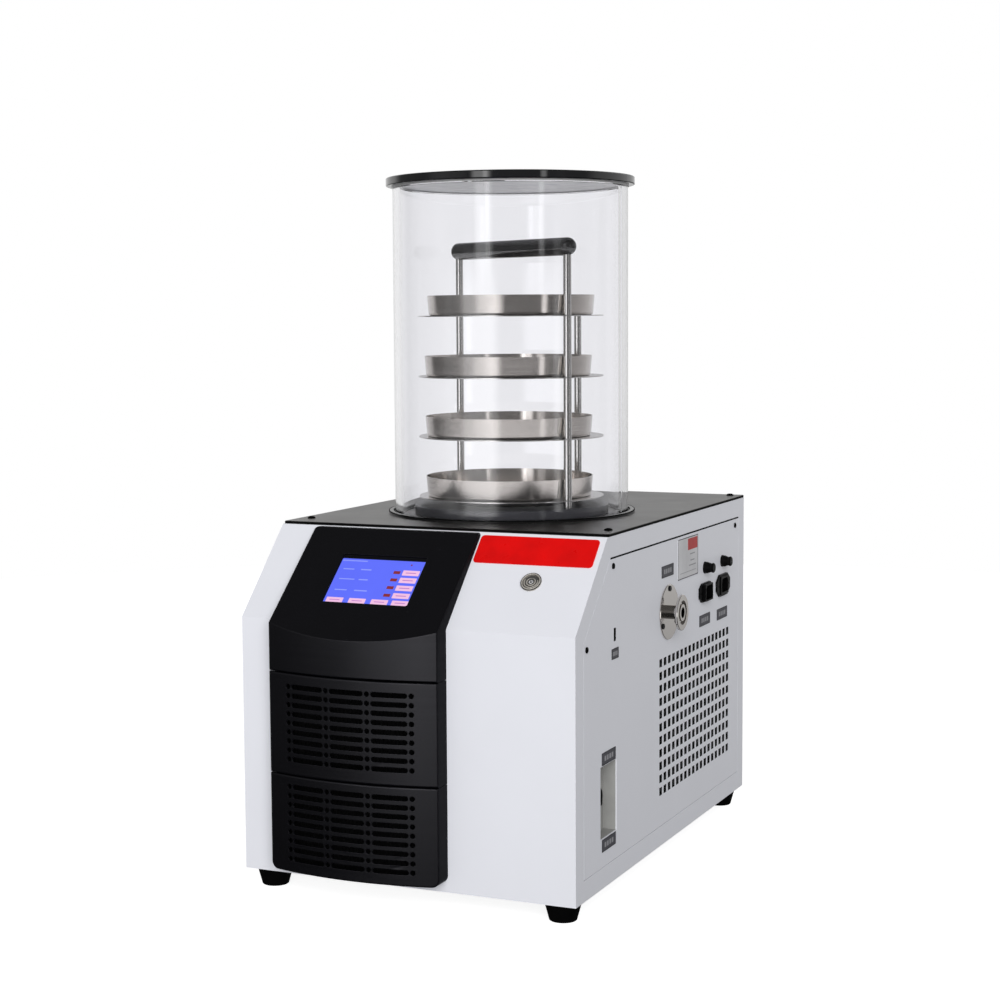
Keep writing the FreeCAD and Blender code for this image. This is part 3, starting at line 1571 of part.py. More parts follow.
# ---- drying chamber -----------------------------------------------------------------------
def make_seal_ring():
    """Rubber ring with a raised outer lip; the cylinder stands in it."""
    lip_inner = cylinder_outer_radius + seal_lip_gap
    soft = 0.8
    profile = [
        (seal_inner_radius, 0),
        (seal_outer_radius, 0),
        (seal_outer_radius, seal_lip_height - soft),
        (seal_outer_radius - soft, seal_lip_height),
        (lip_inner + soft, seal_lip_height),
        (lip_inner, seal_lip_height - soft),
        (lip_inner, seal_floor),
        (seal_inner_radius, seal_floor),
    ]
    return turned(profile, Vector(0, chamber_y, plate_top_z), UP)


def make_chamber_cylinder():
    """Clear acrylic cylinder."""
    inner = cylinder_inner_radius
    edge = 0.6
    profile = [
        (inner, edge),
        (inner + edge, 0),
        (cylinder_outer_radius - edge, 0),
        (cylinder_outer_radius, edge),
        (cylinder_outer_radius, cylinder_height - edge),
        (cylinder_outer_radius - edge, cylinder_height),
        (inner + edge, cylinder_height),
        (inner, cylinder_height - edge),
    ]
    return turned(profile, Vector(0, chamber_y, cylinder_base_z), UP)


def make_lid_gasket():
    """Flat rubber ring between the cylinder and the lid."""
    inner = cylinder_inner_radius - gasket_overhang
    outer = cylinder_outer_radius + gasket_overhang
    return sleeve(outer, inner, Vector(0, chamber_y, cylinder_top_z), UP, gasket_thickness)


def make_chamber_lid():
    """Solid round lid."""
    lid = rod(lid_radius, Vector(0, chamber_y, lid_z), UP, lid_thickness)
    rims = [edge for edge in lid.Edges if isinstance(edge.Curve, Part.Circle)]
    return lid.makeFillet(lid_edge_radius, rims)


# ---- rack, shelves and trays --------------------------------------------------------------
def rod_point(index, z):
    """Axis point of a rack rod at a height."""
    angle = math.radians(rack_turn + index * rod_spacing)
    x = rod_circle_radius * math.cos(angle)
    return Vector(x, chamber_y + rod_circle_radius * math.sin(angle), z)


def make_rack_rods():
    """Three upright rods; the two opposite ones carry the handle."""
    tall_top = handle_z - handle_radius + handle_socket_depth
    short_top = top_shelf_z + shelf_thickness + short_rod_rise
    rods = []
    for index, top in ((0, tall_top), (1, short_top), (2, tall_top)):
        bar = rod(rod_radius, rod_point(index, cover_top_z), UP, top - cover_top_z)
        rims = [edge for edge in bar.Edges if isinstance(edge.Curve, Part.Circle)]
        rods.append(bar.makeChamfer(rod_edge, rims))
    return Part.makeCompound(rods)


def make_rack_handle():
    """Black round handle bar with ball ends, across the two tall rods."""
    start = rod_point(0, handle_z)
    end = rod_point(2, handle_z)
    axis = (end - start).normalize()
    bar = rod(handle_radius, start, axis, (end - start).Length)
    ends = [Part.makeSphere(handle_radius, point) for point in (start, end)]
    sockets = [rod(rod_radius + rod_fit, rod_point(index, handle_z - handle_radius - OVERCUT), UP,
                   handle_socket_depth + OVERCUT) for index in (0, 2)]
    return merge([bar] + ends).cut(Part.makeCompound(sockets))


def make_shelf(level):
    """Thin round shelf welded to the rods."""
    z = shelf_base_z + level * shelf_pitch
    shelf = rod(shelf_radius, Vector(0, chamber_y, z), UP, shelf_thickness)
    holes = [rod(rod_radius + rod_fit, rod_point(index, z - OVERCUT), UP, shelf_thickness + 2 * OVERCUT)
             for index in range(3)]
    return shelf.cut(Part.makeCompound(holes))


def make_tray(level):
    """Shallow pressed tray standing on a shelf."""
    open_side = math.radians(rack_turn + 3 * rod_spacing)
    pull = tray_pull[shelf_count - 1 - level]
    z = shelf_base_z + level * shelf_pitch + shelf_thickness
    lower = tray_bottom_radius - tray_floor_radius
    half_way = math.sqrt(0.5)
    inner_top = tray_top_radius - tray_wall
    inner_bottom = tray_bottom_radius - tray_wall
    profile = [
        (0, 0),
        (lower, 0),
        (lower + tray_floor_radius * half_way, tray_floor_radius * (1 - half_way)),
        (tray_bottom_radius, tray_floor_radius),
        (tray_top_radius, tray_height),
        (inner_top, tray_height),
        (inner_bottom, tray_floor_radius),
        (lower, tray_wall),
        (0, tray_wall),
    ]
    centre = Vector(pull * math.cos(open_side), chamber_y + pull * math.sin(open_side), z)
    return turned(profile, centre, UP)


# ---- refrigeration and air ----------------------------------------------------------------
def make_condenser_coil():
    """Finned condenser coil behind the front grilles."""
    x0 = bezel_centre_x - condenser_half_width
    x1 = bezel_centre_x + condenser_half_width
    relief = condenser_fin_relief
    core = block(x0, x1, condenser_front_y + relief, condenser_back_y - relief, condenser_bottom_z,
                 condenser_top_z)
    plates = [block(x, x + condenser_plate, condenser_front_y, condenser_back_y, floor_z, condenser_top_z)
              for x in (x0 - condenser_plate, x1)]
    fins = []
    count = int((x1 - x0) / condenser_fin_pitch)
    for index in range(1, count):
        x = x0 + index * (x1 - x0) / count
        fins.append(block(x - condenser_fin_thickness / 2, x + condenser_fin_thickness / 2,
                          condenser_front_y, condenser_front_y + relief, condenser_bottom_z,
                          condenser_top_z))
    bends = []
    pitch = (condenser_top_z - condenser_bottom_z) / condenser_tube_rows
    radius = condenser_tube_radius
    middle_y = (condenser_front_y + condenser_back_y) / 2
    for row in range(condenser_tube_rows - 1):
        z = condenser_bottom_z + (row + 0.5) * pitch
        side = x1 + condenser_plate if row % 2 else x0 - condenser_plate
        out = 1 if row % 2 else -1
        near, far = sorted((side, side + out * condenser_bend_reach))
        bend = block(near, far, middle_y - radius, middle_y + radius, z - radius, z + pitch + radius)
        rims = [edge for edge in bend.Edges
                if is_along(edge, BACK) and abs(edge.CenterOfMass.x - side) > condenser_bend_reach / 2]
        bends.append(bend.makeFillet(condenser_bend_radius, rims))
    return merge([core] + plates + fins + bends)


def make_fan_shroud():
    """Plate and ring round the fan, with arms that carry the motor."""
    x0 = bezel_centre_x - condenser_half_width
    x1 = bezel_centre_x + condenser_half_width
    bore = fan_radius + fan_tip_gap
    start = Vector(bezel_centre_x, condenser_back_y, fan_z)
    plate = block(x0, x1, condenser_back_y, condenser_back_y + shroud_thickness, condenser_bottom_z,
                  condenser_top_z)
    ring = rod(bore + shroud_ring_wall, start, BACK, shroud_ring_length)
    air_way = rod(bore, start - BACK * OVERCUT, BACK, shroud_ring_length + 2 * OVERCUT)
    body = merge([plate, ring]).cut(air_way)
    arm_y = condenser_back_y + shroud_ring_length
    hub = sleeve(motor_radius + shroud_ring_wall, motor_radius, Vector(start.x, arm_y, start.z), BACK,
                 shroud_thickness)
    arms = []
    for index in range(motor_arm_count):
        arm = block(-motor_arm_width / 2, motor_arm_width / 2, 0, shroud_thickness,
                    motor_radius + shroud_ring_wall / 2, bore + shroud_ring_wall)
        arm.rotate(Vector(0, 0, 0), BACK, motor_arm_turn + index * 360 / motor_arm_count)
        arm.translate(Vector(start.x, arm_y, start.z))
        arms.append(arm)
    return merge([body, hub] + arms)


def make_fan_motor():
    """Fan motor held in the shroud's hub."""
    arm_y = condenser_back_y + shroud_ring_length
    start = Vector(bezel_centre_x, arm_y - shroud_thickness / 2, fan_z)
    body = rod(motor_radius - fit_gap / 3, start, BACK, motor_length)
    flange = rod(motor_radius + shroud_ring_wall, Vector(start.x, arm_y + shroud_thickness, start.z), BACK,
                 shroud_thickness)
    bore = rod(motor_shaft_radius + motor_shaft_clear, start - BACK * OVERCUT, BACK,
               motor_shaft_length + OVERCUT)
    return merge([body, flange]).cut(bore)


def make_fan_blades():
    """Fan rotor: hub, shaft and tilted blades."""
    hub = rod(fan_hub_radius, Vector(0, 0, 0), BACK, fan_hub_length)
    blades = []
    for index in range(fan_blade_count):
        blade = block(-fan_blade_chord / 2, fan_blade_chord / 2, -fan_blade_thickness / 2,
                      fan_blade_thickness / 2, fan_blade_root, fan_radius - fan_tip_gap)
        corners = [edge for edge in blade.Edges
                   if is_along(edge, BACK) and edge.CenterOfMass.z > fan_radius / 2]
        blade = blade.makeFillet(fan_blade_corner, corners)
        blade.rotate(Vector(0, 0, 0), UP, fan_blade_pitch)
        blade.translate(BACK * fan_hub_length / 2)
        blade.rotate(Vector(0, 0, 0), BACK, index * 360 / fan_blade_count)
        blades.append(blade)
    motor_front = condenser_back_y + shroud_ring_length - shroud_thickness / 2
    shaft = rod(motor_shaft_radius, Vector(0, fan_hub_length / 2, 0), BACK,
                motor_front - fan_plane_y + motor_shaft_length - fan_hub_length / 2 - OVERCUT)
    rotor = merge([hub, shaft] + blades)
    rotor.translate(Vector(bezel_centre_x, fan_plane_y, fan_z))
    return rotor


def compressor_stub(angle, height, radius):
    """Start point and direction of a pipe stub on the compressor's shell."""
    turn = math.radians(angle)
    direction = Vector(math.cos(turn), math.sin(turn), 0)
    centre = Vector(compressor_x, compressor_y, compressor_base_z + height)
    return centre + direction * (compressor_radius - radius), direction


def make_compressor():
    """Hermetic compressor: domed shell, seam, base plate and two pipe stubs."""
    dome = compressor_dome
    profile = [
        (0, 0),
        (compressor_shoulder_radius, 0),
        (compressor_radius, dome / 2),
        (compressor_radius, compressor_height - dome),
        (compressor_shoulder_radius, compressor_height - compressor_shoulder_drop),
        (compressor_crown_radius, compressor_height),
        (0, compressor_height),
    ]
    shell = turned(profile, Vector(compressor_x, compressor_y, compressor_base_z), UP)
    seam_z = compressor_base_z + compressor_height * compressor_seam_share
    seam_point = Vector(compressor_x, compressor_y, seam_z)
    seam = rod(compressor_seam_radius, seam_point, UP, compressor_seam_height)
    plate = block(-compressor_plate_length / 2, compressor_plate_length / 2, -compressor_plate_width / 2,
                  compressor_plate_width / 2, -compressor_plate_thickness, 0)
    plate.translate(Vector(compressor_x, compressor_y, compressor_base_z))
    stubs = []
    for angle, height, radius in stub_places():
        start, direction = compressor_stub(angle, height, radius)
        stubs.append(rod(radius, start, direction, stub_length + radius))
    holes = [rod(screw_radius, point - UP * OVERCUT, UP, grommet_height + 3 * OVERCUT)
             for point in grommet_points()]
    return merge([shell, seam, plate] + stubs).cut(Part.makeCompound(holes))


def stub_places():
    """Direction, height and radius of the suction and discharge stubs."""
    return [
        (suction_stub_angle, compressor_height * suction_stub_share, stub_radius),
        (discharge_stub_angle, compressor_height * discharge_stub_share, pipe_radius),
    ]


def grommet_points():
    """Rubber mount axes, on the base pan."""
    x = compressor_plate_length / 2 - compressor_foot_inset
    y = compressor_plate_width / 2 - compressor_foot_inset
    return [Vector(compressor_x + i * x, compressor_y + j * y, floor_z) for i in (-1, 1) for j in (-1, 1)]


def make_compressor_mounts():
    """Four rubber mounts under the compressor's base plate."""
    return Part.makeCompound([
        sleeve(grommet_radius, screw_radius, point, UP, grommet_height) for point in grommet_points()])


def suction_start():
    """Point on the evaporator coil where the suction pipe leaves."""
    return Vector(0, chamber_y + coil_radius + coil_tube_radius, coil_top_z() - coil_turns * coil_pitch)


def make_refrigerant_pipes():
    """Suction pipe, discharge pipe and filter drier."""
    suction_end, out = compressor_stub(*stub_places()[0])
    suction_end = suction_end + out * (stub_length + stub_radius)
    start = suction_start() + BACK * fit_gap
    far = suction_end + out * (2 * pipe_bend)
    drop_y = max(start.y + insulation_wall + pipe_bend, far.y - pipe_bend)
    suction = bent_tube(
        [start, Vector(start.x, drop_y, start.z), Vector(far.x, far.y, suction_end.z), suction_end],
        suction_bend, suction_radius)
    discharge_end, direction = compressor_stub(*stub_places()[1])
    discharge_end = discharge_end + direction * (stub_length + pipe_radius)
    turn = discharge_end + direction * (2 * pipe_bend)
    coil_x = bezel_centre_x + condenser_half_width + condenser_plate
    low = Vector(coil_x + 2 * pipe_bend, turn.y, turn.z)
    inlet = Vector(coil_x, condenser_back_y - condenser_tube_radius, turn.z)
    discharge = bent_tube(
        [discharge_end, turn, Vector(low.x, inlet.y, turn.z), inlet], pipe_bend, pipe_radius)
    drier_x = bezel_centre_x - condenser_half_width
    drier_y = condenser_back_y + shroud_thickness + drier_radius + fit_gap
    drier = rod(drier_radius, Vector(drier_x, drier_y, floor_z), UP, drier_length)
    rims = [edge for edge in drier.Edges if isinstance(edge.Curve, Part.Circle)]
    drier = drier.makeFillet(drier_edge, rims)
    return Part.makeCompound([suction, discharge, drier])


# ---- electronics --------------------------------------------------------------------------
def make_control_board():
    """Circuit board with its main components, on posts behind the white front."""
    y_wall = front_y + sheet
    y_board = y_wall + standoff_length
    x0 = control_board_x - control_board_width / 2
    x1 = control_board_x + control_board_width / 2
    z1 = bend_z - control_board_below_bend
    z0 = z1 - control_board_height
    thick = board_thickness
    board = block(x0, x1, y_board, y_board + thick, z0, z1)
    posts = [rod(standoff_radius, Vector(x, y_wall, z), BACK, standoff_length)
             for x in (x0 + standoff_inset, x1 - standoff_inset)
             for z in (z0 + standoff_inset, z1 - standoff_inset)]
    base = y_board + thick
    relays = []
    for index in range(relay_count):
        left = x0 + relay_inset + index * relay_pitch
        low = z0 + relay_above_edge
        relays.append(block(left, left + relay_width, base, base + relay_width, low, low + relay_height))
    capacitors = []
    for index in range(relay_count):
        foot = Vector(x0 + capacitor_inset + index * capacitor_pitch, base, z1 - capacitor_below_edge)
        capacitors.append(rod(capacitor_radius, foot, BACK, capacitor_length))
    low = z0 + terminal_above_edge
    terminal = block(x0 + relay_width, x1 - relay_width, base, base + terminal_depth, low,
                     low + terminal_height)
    low = z0 + chip_above_edge
    chip = block(control_board_x - chip_width / 2, control_board_x + chip_width / 2, base,
                 base + chip_depth, low, low + chip_height)
    return merge([board, terminal, chip] + posts + relays + capacitors)


def make_power_supply():
    """Power supply in a slotted metal case on the base pan."""
    x0 = -half_width + supply_side_offset
    x1 = x0 + supply_width
    y1 = rear_y - supply_rear_offset
    y0 = y1 - supply_length
    case = block(x0, x1, y0, y1, floor_z, floor_z + supply_height)
    tabs = [block(x0, x1, y, y + supply_tab, floor_z, floor_z + supply_tab_thickness)
            for y in (y0 - supply_tab, y1)]
    slots = []
    high = floor_z + supply_height
    for index in range(supply_slot_count):
        y = y0 + supply_slot_pitch * (index + 2)
        slots.append(block(x0 + supply_tab, x1 - supply_tab, y, y + supply_slot_width,
                           high - supply_tab_thickness, high + OVERCUT))
    return merge([case] + tabs).cut(Part.makeCompound(slots))


def main():
    """Builds and writes every node."""
    os.makedirs("parts", exist_ok=True)
    nodes = {
        "base_pan": make_base_pan(),
        "main_casing": make_main_casing(),
        "right_side_panel": make_right_side_panel(),
        "left_side_panel": make_left_side_panel(),
        "rear_panel": make_rear_panel(),
        "top_plate": make_top_plate(),
        "top_plate_screws": make_top_plate_screws(),
        "panel_screws": make_panel_screws(),
        "feet": make_feet(),
        "foot_screws": make_foot_screws(),
        "control_bezel": make_control_bezel(),
        "upper_grille": grille_piece(grille_split_z, bezel_bottom_z, upper_grille_top_margin, 0),
        "lower_grille": grille_piece(
            grille_bottom_z, grille_split_z, lower_grille_top_margin, grille_corner_radius),
        "touch_screen": make_touch_screen(),
        "display_board": make_display_board(),
        "power_button_body": make_power_button_body(),
        "power_button_cap": make_power_button_cap(),
        "power_button_nut": make_power_button_nut(),
        "front_badge": make_front_badge(),
        "vacuum_port": make_vacuum_port(),
        "vacuum_port_screws": make_vacuum_port_screws(),
        "mains_inlet": make_mains_inlet(),
        "pump_outlet": make_pump_outlet(),
        "fuse_holders": make_fuse_holders(),
        "front_fuse_cap": fuse_cap(front_service_y),
        "rear_fuse_cap": fuse_cap(rear_service_y),
        "data_port": make_data_port(),
        "drain_pocket": make_drain_pocket(),
        "drain_valve_body": make_drain_valve_body(),
        "drain_valve_knob": make_drain_valve_knob(),
        "drain_hose": make_drain_hose(),
        "function_labels": make_function_labels(),
        "rating_plate": make_rating_plate(),
        "cold_trap_well": make_cold_trap_well(),
        "evaporator_coil": make_evaporator_coil(),
        "trap_insulation": make_trap_insulation(),
        "trap_cover": make_trap_cover(),
        "seal_ring": make_seal_ring(),
        "chamber_cylinder": make_chamber_cylinder(),
        "lid_gasket": make_lid_gasket(),
        "chamber_lid": make_chamber_lid(),
        "rack_rods": make_rack_rods(),
        "rack_handle": make_rack_handle(),
        "condenser_coil": make_condenser_coil(),
        "fan_shroud": make_fan_shroud(),
        "fan_motor": make_fan_motor(),
        "fan_blades": make_fan_blades(),
        "compressor": make_compressor(),
        "compressor_mounts": make_compressor_mounts(),
        "refrigerant_pipes": make_refrigerant_pipes(),
        "control_board": make_control_board(),
        "power_supply": make_power_supply(),
    }
    for level in range(shelf_count):
        nodes["shelf_" + str(level + 1)] = make_shelf(level)
        nodes["tray_" + str(level + 1)] = make_tray(level)
    for name, shape in nodes.items():
        save(name, shape)
    print(len(nodes), "nodes written")


main()
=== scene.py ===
"""Looks for a benchtop laboratory freeze dryer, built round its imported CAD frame.

Metres, in the CAD frame: +X is the service side, -Y the control front, +Z up.
"""
import bpy
import bmesh
import json
import math
from mathutils import Matrix, Vector


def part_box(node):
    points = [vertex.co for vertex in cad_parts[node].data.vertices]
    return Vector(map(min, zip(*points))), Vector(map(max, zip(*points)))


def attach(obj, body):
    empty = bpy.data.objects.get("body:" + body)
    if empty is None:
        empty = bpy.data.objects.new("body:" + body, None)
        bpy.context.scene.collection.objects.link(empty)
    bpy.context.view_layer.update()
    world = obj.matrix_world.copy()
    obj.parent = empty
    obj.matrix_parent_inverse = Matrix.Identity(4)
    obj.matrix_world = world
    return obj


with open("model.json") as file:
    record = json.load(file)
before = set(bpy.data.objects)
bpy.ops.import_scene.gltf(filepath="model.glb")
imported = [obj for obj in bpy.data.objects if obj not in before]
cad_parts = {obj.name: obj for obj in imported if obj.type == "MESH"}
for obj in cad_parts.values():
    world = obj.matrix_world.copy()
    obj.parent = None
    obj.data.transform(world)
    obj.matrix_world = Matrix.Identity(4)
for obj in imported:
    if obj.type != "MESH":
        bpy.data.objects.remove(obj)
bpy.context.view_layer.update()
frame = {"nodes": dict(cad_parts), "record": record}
NODES = frame["nodes"]
ROOT = "cabinet"
SCENE = bpy.context.scene
MM = 0.001
X_AXIS = Vector((1.0, 0.0, 0.0))
Y_AXIS = Vector((0.0, 1.0, 0.0))
Z_AXIS = Vector((0.0, 0.0, 1.0))

# ---- camera ---------------------------------------------------------------------------------
CAMERA_PLACE = Vector((0.9031, -2.0834, 0.6100))
CAMERA_YAW = math.radians(24.469)       # to the left of +Y
CAMERA_PITCH = math.radians(5.051)      # downwards
CAMERA_ROLL = math.radians(-0.389)
CAMERA_LENS = 71.62                     # mm, on a 36 mm sensor
CAMERA_SHIFT = (0.0241, -0.0103)

# ---- light ----------------------------------------------------------------------------------
FLOOR_RADIUS = 2.6
FLOOR_GLOW = 0.86
SUN_AZIMUTH = math.radians(26.2)        # from the front towards the service side
SUN_HEIGHT = math.radians(18.0)
SUN_STRENGTH = 2.77
SUN_SPREAD = math.radians(50.0)
FILL_LOW = 0.20                         # soft light from below and from above
FILL_HIGH = 0.27
# Soft light in the reflections.  Azimuths are degrees from the front, heights are sines of the
# angle above the horizon; each pair says where a change starts and where it ends.
AROUND_TURN = (112.0, 175.0)            # azimuth to either side
AROUND_LEVEL = (0.15, 0.48)             # in front and behind
BEHIND_TURN = (94.0, 112.0)             # azimuth to either side
BEHIND_LEVEL = 0.30                     # added to the level around
GROUND_RISE = (-0.30, -0.02)
GROUND_SHARE = 0.20                     # what is left of both near the ground
OVERHEAD_RISE = (0.25, 0.7)
OVERHEAD_LEVEL = 0.10
# A low glow that the bowed black front shows towards its right end.
GLOW_LEVEL = 1.6
GLOW_TURN = (-55.0, 0.0)
GLOW_POWER = 2.8                        # how late the glow rises over that turn
GLOW_END = (16.0, 8.0)
GLOW_BOTTOM = (-0.275, -0.155)
GLOW_TOP = (-0.12, -0.14)
# Light panels seen in the reflections: azimuth from the front towards the service side, half
# width and soft edge in degrees, strength, lower and upper height (sine), soft edge of those.
PANELS = (
    (-8.0, 17.0, 6.0, 1.75, -0.12, 0.02, 0.02),
    (-36.0, 9.0, 5.0, 0.4, -0.12, 0.02, 0.02),
    (-3.0, 8.0, 3.0, 1.6, 0.02, 0.55, 0.02),
    (1.0, 2.0, 1.0, 1.2, 0.03, 0.55, 0.02),
    (-42.0, 12.0, 8.0, 0.15, -0.12, 0.50, 0.05),
    (-24.0, 6.0, 3.0, 1.3, 0.10, 0.45, 0.04),
    (54.0, 2.5, 1.5, 1.3, 0.02, 0.30, 0.02),
    (70.0, 3.5, 3.0, 1.4, -0.30, 0.02, 0.05),
    (-126.0, 22.0, 8.0, 0.35, -0.12, 0.50, 0.05),
)


# ---- node helpers ---------------------------------------------------------------------------
class Graph:
    """Small helpers to build a node tree."""

    def __init__(self, tree):
        self.tree = tree

    def node(self, kind, **settings):
        """Adds a node with its properties."""
        node = self.tree.nodes.new(kind)
        for key, value in settings.items():
            setattr(node, key, value)
        return node

    def feed(self, socket, value):
        """Sets a socket to a constant or links another socket to it."""
        if isinstance(value, bpy.types.NodeSocket):
            self.tree.links.new(value, socket)
        else:
            socket.default_value = value

    def math(self, operation, *values):
        """One arithmetic node."""
        node = self.node("ShaderNodeMath", operation=operation)
        for socket, value in zip(node.inputs, values):
            self.feed(socket, value)
        return node.outputs["Value"]

    def ramp(self, value, from_min, from_max, to_min=0.0, to_max=1.0, smooth=False):
        """Maps a range to another one, clamped."""
        node = self.node("ShaderNodeMapRange")
        if smooth:
            node.interpolation_type = "SMOOTHSTEP"
        for key, entry in (("Value", value), ("From Min", from_min), ("From Max", from_max),
                           ("To Min", to_min), ("To Max", to_max)):
            self.feed(node.inputs[key], entry)
        return node.outputs["Result"]

    def mix(self, share, first, second):
        """Blends two colours."""
        node = self.node("ShaderNodeMix", data_type="RGBA")
        self.feed(node.inputs["Factor"], share)
        self.feed(node.inputs["A"], first)
        self.feed(node.inputs["B"], second)
        return node.outputs["Result"]


class Surface(Graph):
    """A node material with one Principled shader and helpers to feed it."""

    def __init__(self, name, colour, roughness, metallic=0.0, gloss=0.5):
        self.material = bpy.data.materials.new(name)
        self.material.use_nodes = True
        super().__init__(self.material.node_tree)
        self.shader = self.tree.nodes["Principled BSDF"]
        self.output = self.tree.nodes["Material Output"]
        self.put("Base Color", (*colour, 1.0))
        self.put("Roughness", roughness)
        self.put("Metallic", metallic)
        self.put("Specular IOR Level", gloss)
        self.colour = colour
        self.roughness = roughness
        self.height = None

    def put(self, socket, value):
        """Sets one of the shader's own sockets."""
        self.shader.inputs[socket].default_value = value

    def place(self, stretch=(1.0, 1.0, 1.0)):
        """Object coordinates, stretched on each axis."""
        coordinates = self.node("ShaderNodeTexCoord")
        mapping = self.node("ShaderNodeMapping")
        mapping.inputs["Scale"].default_value = stretch
        self.feed(mapping.inputs["Vector"], coordinates.outputs["Object"])
        return mapping.outputs["Vector"]

    def noise(self, scale, stretch=(1.0, 1.0, 1.0), detail=3.0, roughness=0.5):
        """Noise value over the surface."""
        noise = self.node("ShaderNodeTexNoise")
        noise.inputs["Scale"].default_value = scale
        noise.inputs["Detail"].default_value = detail
        noise.inputs["Roughness"].default_value = roughness
        self.feed(noise.inputs["Vector"], self.place(stretch))
        return noise.outputs["Fac"]

    def grain(self, scale):
        """Cell pattern of moulded plastic."""
        cells = self.node("ShaderNodeTexVoronoi", feature="SMOOTH_F1")
        cells.inputs["Scale"].default_value = scale
        self.feed(cells.inputs["Vector"], self.place())
        return cells.outputs["Distance"]

    def facing(self, axis):
        """How far the surface faces along an axis of the object, either way."""
        coordinates = self.node("ShaderNodeTexCoord")
        split = self.node("ShaderNodeSeparateXYZ")
        self.feed(split.inputs[0], coordinates.outputs["Normal"])
        return self.math("ABSOLUTE", split.outputs[axis])

    def round_edges(self, radius):
        """Softens hard edges in the shading, as a die or a coat does."""
        bevel = self.node("ShaderNodeBevel", samples=4)
        bevel.inputs["Radius"].default_value = radius
        self.height = bevel.outputs["Normal"]
        self.feed(self.shader.inputs["Normal"], self.height)

    def draw_round(self, amount):
        """Reflections smeared along the upright axis, as lathe lines round it do."""
        tangent = self.node("ShaderNodeTangent", direction_type="RADIAL", axis="Z")
        self.put("Anisotropic", amount)
        self.put("Anisotropic Rotation", 0.25)
        self.feed(self.shader.inputs["Tangent"], tangent.outputs["Tangent"])

    def spread(self, value, low, high):
        """Maps the middle of a noise value to a range."""
        return self.ramp(value, 0.3, 0.7, low, high)

    def vary_roughness(self, value, amount):
        """Roughness that changes a little over the surface."""
        self.feed(self.shader.inputs["Roughness"],
                  self.spread(value, self.roughness - amount, self.roughness + amount))

    def vary_colour(self, value, dark, light):
        """Colour between a darker and a lighter share of the base."""
        low = (*[part * dark for part in self.colour], 1.0)
        high = (*[min(part * light, 1.0) for part in self.colour], 1.0)
        self.feed(self.shader.inputs["Base Color"], self.mix(self.spread(value, 0.0, 1.0), low, high))

    def bump(self, value, distance, strength=1.0):
        """Fine relief, in metres; later calls add to earlier ones."""
        bump = self.node("ShaderNodeBump")
        bump.inputs["Distance"].default_value = distance
        bump.inputs["Strength"].default_value = strength
        self.feed(bump.inputs["Height"], value)
        if self.height is not None:
            self.feed(bump.inputs["Normal"], self.height)
        self.feed(self.shader.inputs["Normal"], bump.outputs["Normal"])
        self.height = bump.outputs["Normal"]


# ---- materials ------------------------------------------------------------------------------
ROUND_BRUSH = (10.0, 10.0, 2400.0)      # lines run round an upright cylinder


def painted_steel(name, colour):
    """Powder-coated sheet with a faint orange peel."""
    surface = Surface(name, colour, 0.42, gloss=0.3)
    surface.vary_colour(surface.noise(14.0), 0.99, 1.005)
    surface.vary_roughness(surface.noise(60.0), 0.03)
    surface.bump(surface.noise(1100.0, detail=2.0), 0.00005, 0.3)
    return surface.material


def housing_plastic(name, colour):
    """Black housing: satin front with faint drawn lines, duller sides, softened edges."""
    surface = Surface(name, colour, 0.22, gloss=0.5)
    # Bluish tint on the reflections: painted sheen, the colour of the lamps' light.
    surface.put("Specular Tint", (0.93, 0.92, 1.0, 1.0))
    surface.round_edges(0.0008)
    surface.vary_colour(surface.noise(40.0), 0.92, 1.1)
    front = surface.spread(surface.noise(1.0, (7.0, 7.0, 500.0)), 0.20, 0.25)
    side = surface.ramp(surface.facing("X"), 0.6, 0.95)
    surface.feed(surface.shader.inputs["Roughness"],
                 surface.math("ADD", front, surface.math("MULTIPLY", side, 0.75)))
    surface.bump(surface.noise(1.0, (14.0, 14.0, 1300.0), 4.0), 0.00001, 0.5)
    return surface.material


def moulded_plastic(name, colour, roughness, grain_depth=0.00006, gloss=0.5):
    """Moulding with a fine spark-eroded grain."""
    surface = Surface(name, colour, roughness, gloss=gloss)
    surface.vary_colour(surface.noise(40.0), 0.92, 1.1)
    surface.vary_roughness(surface.noise(90.0), 0.03)
    surface.bump(surface.grain(1600.0), grain_depth, 0.4)
    return surface.material


def coated_metal(name, colour, roughness, gloss=0.5, tint=(1.0, 1.0, 1.0)):
    """Smooth dark coat on a metal plate."""
    surface = Surface(name, colour, roughness, gloss=gloss)
    surface.put("Specular Tint", (*tint, 1.0))
    surface.vary_colour(surface.noise(25.0), 0.92, 1.1)
    surface.vary_roughness(surface.noise(18.0, detail=4.0), 0.02)
    surface.bump(surface.noise(900.0), 0.00003, 0.3)
    return surface.material


def rubber(name, colour, roughness=0.72, gloss=0.3):
    """Matte rubber or foam, slightly mottled."""
    surface = Surface(name, colour, roughness, gloss=gloss)
    surface.vary_colour(surface.noise(120.0), 0.85, 1.3)
    surface.bump(surface.noise(1500.0), 0.00006, 0.4)
    return surface.material


def brushed_metal(name, colour, roughness, stretch):
    """Metal with fine lines, drawn out along the axes that have a small stretch."""
    surface = Surface(name, colour, roughness, 1.0)
    lines = surface.noise(1.0, stretch, 5.0)
    surface.vary_colour(lines, 0.95, 1.05)
    surface.vary_roughness(surface.noise(1.0, tuple(value * 0.6 for value in stretch)), 0.05)
    surface.bump(lines, 0.00002, 0.4)
    return surface.material


def turned_metal(name, colour, roughness, drawn=0.7):
    """Steel with lines round its upright axis."""
    surface = Surface(name, colour, roughness, 1.0)
    surface.draw_round(drawn)
    lines = surface.noise(1.0, ROUND_BRUSH, 4.0)
    surface.vary_colour(lines, 0.93, 1.05)
    surface.vary_roughness(surface.noise(1.0, ROUND_BRUSH), 0.02)
    surface.bump(lines, 0.000002, 0.15)
    return surface.material


